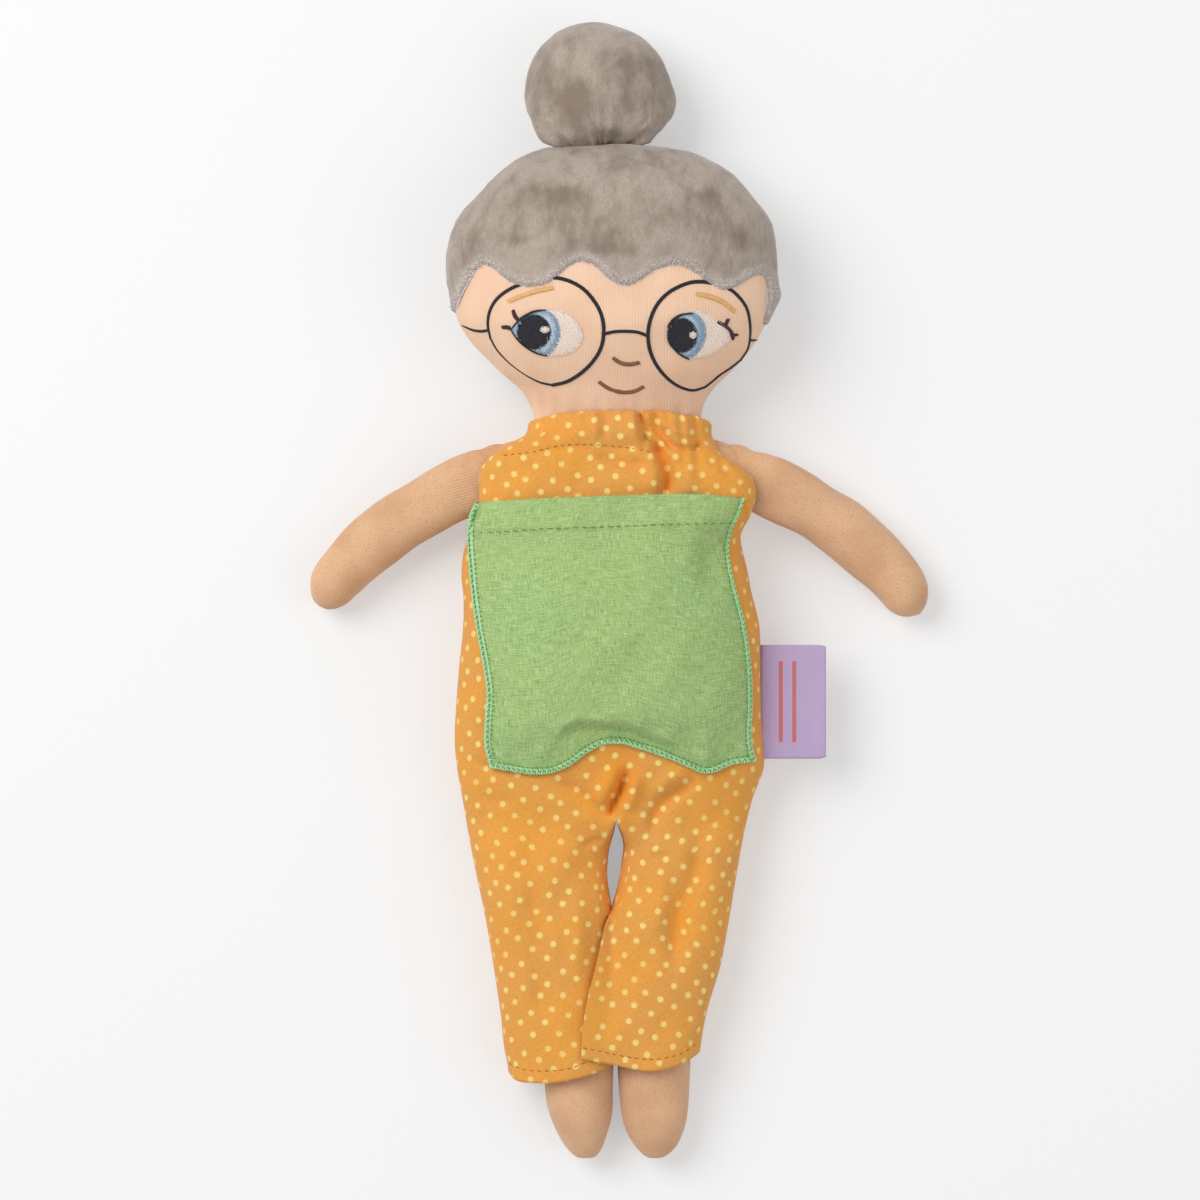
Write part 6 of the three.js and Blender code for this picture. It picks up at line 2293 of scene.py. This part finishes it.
@dataclass
class SuitStitches:
    """The sewn lines of the suit: the neck casing's and the two hems'."""

    tree: bpy.types.GeometryNodeTree

    dash: float = 1.7
    gap: float = 0.8
    lift: float = 0.12
    lines: tuple[tuple[str, str, str, tuple[Pair, ...]], ...] = (
        ("neck_casing_stitches", "jumpsuit_bodice", "",
         ((506, 455), (520, 453.5), (535, 451.5), (555, 446.5), (575, 444.5), (600, 445), (625, 447.5),
          (648, 451.5))),
        ("right_hem_stitches", "right_trouser", "right",
         ((510, 1065), (520, 1069), (545, 1071), (570, 1068), (590, 1060))),
        ("left_hem_stitches", "left_trouser", "left",
         ((585, 1047.5), (605, 1052), (630, 1057), (655, 1059), (680, 1054), (701, 1043))),
    )

    def over(self, name: str) -> Callable[[np.ndarray], np.ndarray]:
        """Gives the height of a finished piece as a function of flat places.

        Args:
            name: The piece.

        Returns:
            The function, which turns X and Y into Z, in millimetres.
        """
        mesh = bpy.data.objects[name].data
        corners = [tuple(face.vertices) for face in mesh.polygons]
        cloth = BVHTree.FromPolygons([v.co.copy() for v in mesh.vertices], corners)

        def height(places: np.ndarray) -> np.ndarray:
            """Looks straight down at the cloth.

            Args:
                places: X and Y in millimetres.

            Returns:
                Z in millimetres.
            """
            hits = [cloth.ray_cast(Vector((x * MM, y * MM, 0.2)), Vector((0, 0, -1)))[0] for x, y in places]
            values = np.array([np.nan if hit is None else hit.z / MM for hit in hits])
            good = ~np.isnan(values)
            if not good.all():
                values[~good] = np.interp(np.flatnonzero(~good), np.flatnonzero(good), values[good])
            return values

        return height

    def build(self) -> None:
        """Makes the stitches."""
        for name, under, side, pixels in self.lines:
            made = Stitches(self.over(under), self.tree)
            made.dashes(smooth_run(spots(pixels), 40), self.dash, self.gap, self.lift)
            piece = made.piece(name, "rust", 0.34, 0.26)
            if side:
                dressed(piece, blend=trouser_band(side))
            else:
                dressed(piece, "torso")


@dataclass
class SideLabel:
    """The folded ribbon label, with plain woven stripes, in the side seam."""

    near: float = 52.4
    reach: float = 24.3
    low: float = -62.2
    high: float = -20.0
    level: float = 21.15
    loop: float = 0.62
    columns: int = 44

    def build(self) -> None:
        """Makes the label."""
        turn = np.linspace(math.pi / 2, -math.pi / 2, 9)
        end, loop = self.near + self.reach, self.loop
        top = [(x, loop) for x in np.linspace(self.near, end - loop, 26)]
        bend = [(end - loop + loop * math.cos(a), loop * math.sin(a)) for a in turn[1:-1]]
        profile = np.array(top + bend + [(x, -z) for x, z in top[::-1]])
        x, z = (np.repeat(profile[:, k:k + 1], self.columns, 1) for k in (0, 1))
        middle = (self.low + self.high) / 2
        corner = 1 - 0.028 * smoothstep(x, end - 3.0, end) ** 2
        y = middle + (np.linspace(self.low, self.high, self.columns) - middle) * corner
        z = self.level + z + 0.25 * np.sin((y - self.low) * 0.16) * smoothstep(x, self.near, end)
        z += 0.2 * np.sin((x - self.near) * 0.3)
        grid = np.stack([x, y, z], -1)
        run = np.concatenate([[0], np.cumsum(np.linalg.norm(np.diff(profile, axis=0), axis=1))])
        folded = np.minimum(run, run[-1] - run)
        cloth = np.stack([np.broadcast_to(folded[:, None], x.shape), y - self.low], -1)
        made = piece_from("side_label", grid.reshape(-1, 3), grid_faces(*x.shape), "ribbon",
                          cloth.reshape(-1, 2))
        thicken(made, 0.35)
        dressed(made, "label", replaces=["label"])


EYES: dict[str, dict[str, tuple[Pair, ...]]] = {
    "right": {
        "white": ((511, 328), (522, 316.5), (534, 310.5), (547, 308), (561, 310), (573, 317),
                  (581, 328), (583, 337), (578, 347), (568, 353), (556, 355), (544, 353.5),
                  (530, 347), (519, 338.5)),
        "rim": ((511.5, 329), (517, 321), (527, 314), (538, 310.5), (548, 310.2), (556, 316),
                (560, 326), (560.5, 336), (556.5, 346), (550, 353), (543, 353.3), (530, 348),
                (519, 339.5)),
        "iris": ((513.5, 329), (519, 321.5), (528, 315.5), (538, 312.2), (548.5, 312.4), (554, 319),
                 (556.3, 329), (555.5, 338), (551, 346.5), (547, 351.5), (536, 348.8), (526, 343),
                 (518, 336)),
        "pupil": oval(534.4, 330.6, 17.2, 17.4),
        "glint": oval(545.6, 328, 5.2, 3.4, 12),
        "upper lid": ((511.5, 327.5), (519, 319.5), (528, 313.6), (537, 310.4), (546, 309.4)),
        "lower lid": ((511.5, 329), (518.5, 338.5), (528, 346.5), (538, 351.8), (547.5, 354)),
        "lash 1": ((519.5, 320.5), (515.4, 316), (513, 309.6)),
        "lash 2": ((512.5, 328.4), (508, 326.6), (502.2, 326.2)),
    },
    "left": {
        "white": ((667.5, 331), (673, 320), (683, 313), (694, 309.8), (706, 312.5), (718, 319.5),
                  (728.5, 330), (730, 336.5), (722, 346), (711, 353), (699, 356.5), (688, 355.5),
                  (676, 348.5), (669, 340)),
        "rim": ((667.2, 331), (672, 320.5), (681, 313.8), (691, 311), (699, 314.5), (704.5, 322.5),
                (706, 333), (703.5, 343.5), (698, 352), (690.5, 357), (682, 353), (672.5, 345),
                (668, 338)),
        "iris": ((668.4, 331), (673, 321.6), (681.5, 315.2), (688, 313.6), (694.5, 317.6),
                 (698.6, 325), (700, 333), (698, 342), (693.6, 349.6), (688, 354), (682, 351),
                 (673.6, 344), (669.2, 337.6)),
        "pupil": oval(681.9, 333.8, 15.2, 17.2),
        "glint": oval(692.4, 333, 4.2, 3.6, 12),
        "upper lid": ((667.6, 326), (673, 319.4), (681.5, 314.4), (692, 312.6)),
        "lower lid": ((668, 338), (673, 346), (680.5, 353.2), (689, 357.6)),
        "lash 1": ((717.5, 321), (725, 325), (731.5, 331.5), (733.5, 337.5)),
        "lash 2": ((725.4, 324.5), (728.4, 318)),
        "lash 3": ((731, 334.5), (738, 333)),
    },
}


@dataclass
class Face:
    """The embroidered face: glasses, eyes, brows, nose and mouth."""

    head: Head
    tree: bpy.types.GeometryNodeTree
    right_frame: tuple[Pair, ...] = (
        (545, 277.6), (556, 277.8), (569, 281), (582, 288), (593.5, 300), (601.5, 315), (603.8, 331),
        (601, 347), (592.5, 361), (579.5, 373), (566, 380.5), (552.4, 383.5), (540, 380.5),
        (530, 375.5), (519, 368.5), (505.5, 357.5), (496, 347), (490, 336), (487.6, 323),
        (490, 309), (497, 298), (505, 291.5), (514, 286.6), (524, 283),
    )
    left_frame: tuple[Pair, ...] = (
        (713, 283), (703, 281.5), (692, 282), (680, 286), (668, 293), (657.5, 304), (650.5, 319),
        (648, 335), (650.5, 351), (658, 366), (669, 378), (681, 385.5), (694, 388.4), (706, 384.9),
        (713, 379.3), (721, 372.6), (731, 366), (741.8, 357.5), (748.5, 347), (750.8, 334),
        (750.2, 320), (746.4, 306), (739.5, 296.5), (733, 290.5), (726, 286.5),
    )
    features: tuple[tuple[str, str, str, float, float, float, tuple[Pair, ...]], ...] = (
        ("right_brow", "gold", "brow_thread", 1.9, 15, 0.15,
         ((508.5, 301), (522, 295.5), (538, 290.6), (553, 287.8))),
        ("left_brow", "gold", "brow_thread", 1.9, 15, 0.15,
         ((696, 293.6), (709, 296), (722, 301), (734.6, 310.4))),
        ("nose", "brown", "brown_thread", 1.75, 12, 0.12,
         ((612.9, 357), (620, 361.6), (630, 363.4), (639.5, 361.6))),
        ("mouth", "brown", "brown_thread", 1.85, 12, 0.12,
         ((599, 380.5), (609, 387), (622, 390.6), (635, 389.6), (644, 385))),
    )

    def stitches(self) -> Stitches:
        """Starts stitches on the face."""
        return Stitches(self.head.front, self.tree)

    def keep(
        self, made: Stitches, name: str, finish: str, node: str = "", sizes: Sequence[float] = ()
    ) -> None:
        """Makes an embroidered piece and puts it on the head.

        Args:
            made: Its stitches.
            name: Its name.
            finish: The thread's finish.
            node: The frame's node that it stands for, if there is one.
            sizes: The thread's width and height, its unevenness and its seed, as far as they are set.
        """
        dressed(made.piece(name, finish, *sizes), "head", replaces=[node] if node else None)

    def filled(self, outline: np.ndarray, bed: float, heading: float, spacing: float, dash: float,
               lift: float, step: float = 1.4) -> Stitches:
        """Fills an outline with threads on a flat bed.

        Args:
            outline: The closed outline, X and Y.
            bed: How high the bed lies above the face.
            heading: The way of the threads, in degrees.
            spacing: The distance between rows.
            dash: The length of a stitch.
            lift: How high the threads lie.
            step: The distance between the bed's inner points.

        Returns:
            The stitches.
        """
        made = self.stitches()
        made.patch(outline, bed, step)
        made.fill(outline, heading, spacing, dash, lift)
        return made

    def glasses(self) -> None:
        """Sews the round frames, the bridge and the side pieces."""
        made = self.stitches()
        for line, first, last, width in (
            (self.right_frame, 0, 12, 1.42), (self.right_frame, 11, 18, 1.0),
            (self.right_frame, 17, 24, 1.38), (self.left_frame, 0, 14, 1.42),
            (self.left_frame, 13, 18, 1.15), (self.left_frame, 17, 25, 1.38),
        ):
            made.satin(line[first:last], width, 0.6, 0.62)
        made.satin(((602.5, 334), (614, 331.5), (626, 331), (638, 332), (649, 336)), 1.3, 0.6, 0.62)
        made.satin(((487.5, 329), (480, 329.6), (472, 328), (461.5, 322.8)), 1.1, 0.6, 0.62)
        made.satin(((750, 337.6), (754, 338), (758, 337.2)), 1.9, 0.6, 0.62)
        self.keep(made, "glasses_thread", "black", "glasses", (0.6, 0.42))

    def eye(self, side: str, shapes: dict[str, Sequence[Pair]]) -> None:
        """Sews one eye.

        Args:
            side: Right or left.
            shapes: Its outlines and lines in the photograph, by name.
        """
        def shape(key: str, count: int) -> np.ndarray:
            """Gives one outline on the face."""
            return closed_run(spots(shapes[key], FACE_HEIGHT), count)

        white = shape("white", 76)
        made = self.filled(white, 0.35, 84, 0.46, 3.4, 0.33)
        outer = -course(np.vstack([white, white[:1]]))[1][:-1]
        made.lay(white + outer * 0.2, outer, 1.1, 0.42)
        self.keep(made, f"{side}_eye_white_thread", "white", f"{side}_eye_white",
                  (0.44, 0.3, 0.25, 5))
        made = self.filled(shape("rim", 48), 0.55, 88, 0.42, 2.6, 0.5)
        self.keep(made, f"{side}_iris_rim_thread", "rim", "", (0.42, 0.26))
        made = self.filled(shape("iris", 48), 0.72, 80, 0.42, 2.6, 0.66)
        self.keep(made, f"{side}_iris_thread", "blue", f"{side}_iris", (0.42, 0.26))
        made = self.filled(shape("pupil", 48), 1.08, 70, 0.42, 2.4, 1.0)
        for lid in ("upper lid", "lower lid"):
            made.satin(shapes[lid], 0.95, 1.5, 0.4, 30, 0.5)
        self.keep(made, f"{side}_pupil_thread", "black", f"{side}_pupil", (0.42, 0.28))
        made = self.filled(shape("glint", 20), 1.35, 0, 0.4, 1.6, 1.24, 0.6)
        self.keep(made, f"{side}_glint_thread", "white", f"{side}_glint", (0.4, 0.3))
        made = self.stitches()
        for key in ("lash 1", "lash 2", "lash 3"):
            if key in shapes:
                made.satin(shapes[key], 1.7, 0.8, 0.36, 25, 0.2)
        self.keep(made, f"{side}_lashes_thread", "lash", f"{side}_lashes", (0.4, 0.3))

    def build(self) -> None:
        """Sews the whole face."""
        self.glasses()
        for side, shapes in EYES.items():
            self.eye(side, shapes)
        for name, finish, slot, width, slant, taper, line in self.features:
            made = self.stitches()
            made.satin(line, width, 0.6, 0.44, slant, taper)
            self.keep(made, f"{name}_thread", finish, name)
        self.hair_edge()

    def hair_edge(self) -> None:
        """Sews the zigzag along the scalloped hairline and shows the backing at its very edge."""
        line = smooth_run(self.head.edge_line, 440)[6:-12]
        backing = self.stitches()
        backing.ribbon(line + course(line)[1] * 0.1, 0.62, 0.5)
        self.keep(backing, "hairline_backing", "edge line")

        def over_hair(places: np.ndarray) -> np.ndarray:
            """Gives the height of the plush."""
            return self.head.front(places) + self.head.plush

        made = Stitches(over_hair, self.tree)
        draw = np.random.default_rng(71)
        even = smooth_run(line, 520)
        ways, ups = course(even)
        depth = draw.uniform(0.5, 3.1, len(even))[:, None]
        lean = ways * draw.uniform(-0.9, 0.9, len(even))[:, None] + ups
        made.lay(even + ups * depth, lean, draw.uniform(1.2, 2.5, len(even)), 0.04)
        self.keep(made, "hairline_zigzag", "plush edge", "", (0.34, 0.3, 0.3, 9))


def closed_run(outline: np.ndarray, count: int) -> np.ndarray:
    """Draws a smooth closed curve through points.

    Args:
        outline: Its points.
        count: How many points to return.

    Returns:
        The curve's points, the first not repeated.
    """
    looped = np.vstack([outline[-3:], outline, outline[:3]])
    dense = smooth_run(looped, 600)
    start = int(np.argmin(np.linalg.norm(dense[:200] - outline[0], axis=1)))
    end = 400 + int(np.argmin(np.linalg.norm(dense[400:] - outline[0], axis=1)))
    return smooth_run(dense[start:end + 1], count + 1)[:-1]


@dataclass
class Studio:
    """The pale floor, the soft light and the camera straight above."""

    floor_colour: Colour = (0.9, 0.905, 0.91, 1.0)
    white_share: float = 0.38
    world_level: float = 0.48
    sensor: float = 36.0
    lamps: tuple[tuple[str, tuple[float, float, float], float, float], ...] = (
        ("key lamp", (-1.1, 0.75, 1.6), 1.5, 25.5),
        ("fill lamp", (1.1, -0.2, 1.3), 1.4, 4.5),
    )

    def lay_floor(self) -> None:
        """Makes the pale floor just under the doll."""
        bpy.ops.mesh.primitive_plane_add(size=8, location=(0, 0, 0))
        floor = bpy.context.object
        floor.name = "floor"
        floor.data.transform(floor.matrix_world)
        floor.location = (0, 0, -0.0002)
        s = Shade("pale floor")
        tone = s.mix(s.noise(s.object_place(), 3, 1) * 0.02, self.floor_colour, (0.9, 0.9, 0.91, 1.0))
        floor.data.materials.append(s.finish(tone, 0.9, Specular_IOR_Level=0.1))
        s.lighten_for_camera(self.white_share)

    def hang_lamp(self, name: str, where: Sequence[float], size: float, power: float) -> None:
        """Hangs a round soft lamp that shines on the doll.

        Args:
            name: Its name.
            where: Its place in metres.
            size: Its width in metres.
            power: Its power in watts.
        """
        data = bpy.data.lights.new(name, "AREA")
        data.shape, data.size, data.energy = "DISK", size, power
        lamp = bpy.data.objects.new(name, data)
        lamp.location = where
        lamp.rotation_euler = (Vector((0, 0, 0.02)) - Vector(where)).to_track_quat("-Z", "Y").to_euler()
        bpy.context.scene.collection.objects.link(lamp)

    def light_room(self) -> None:
        """Makes the dim room, which is white to the camera only."""
        world = bpy.data.worlds.new("soft room")
        world.use_nodes = True
        bpy.context.scene.world = world
        tree = world.node_tree
        tree.nodes.clear()
        out, mix, path = (tree.nodes.new(kind) for kind in (
            "ShaderNodeOutputWorld", "ShaderNodeMixShader", "ShaderNodeLightPath"))
        tree.links.new(path.outputs["Is Camera Ray"], mix.inputs[0])
        for number, strength in ((1, self.world_level), (2, 1.0)):
            light = tree.nodes.new("ShaderNodeBackground")
            light.inputs["Color"].default_value = WHITE
            light.inputs["Strength"].default_value = strength
            tree.links.new(light.outputs[0], mix.inputs[number])
        tree.links.new(mix.outputs[0], out.inputs["Surface"])
        bpy.context.scene.view_settings.view_transform = "Standard"

    def set_camera(self) -> None:
        """Puts the camera where the photograph was taken from."""
        data = bpy.data.cameras.new("overhead camera")
        data.sensor_width = self.sensor
        data.lens = self.sensor * CAMERA_HEIGHT / (FRAME_PIXELS * MM_PER_PIXEL)
        data.clip_start, data.clip_end = 0.1, 20.0
        camera = bpy.data.objects.new("overhead camera", data)
        camera.location = (CAMERA_AXIS[0] * MM, CAMERA_AXIS[1] * MM, (CAMERA_HEIGHT + SIGHT_PLANE) * MM)
        bpy.context.scene.collection.objects.link(camera)
        bpy.context.scene.camera = camera

    def build(self) -> None:
        """Makes the floor, lights, world and camera."""
        self.lay_floor()
        for lamp in self.lamps:
            self.hang_lamp(*lamp)
        self.light_room()
        self.set_camera()


def write_sizes() -> None:
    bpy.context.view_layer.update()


def main() -> None:
    """Builds the doll and its studio in order."""
    logging.basicConfig(level=logging.INFO, format="%(name)s %(relativeCreated)d %(message)s")
    Studio().build()
    tree = stitch_tree()
    head = Head()
    head.build()
    Bun().build()
    Limbs().build()
    suit = Jumpsuit()
    suit.build()
    Elastic(suit).build()
    Pocket(suit, tree).build()
    SuitStitches(tree).build()
    SideLabel().build()
    Face(head, tree).build()
    write_sizes()


if __name__ == "__main__":
    main()
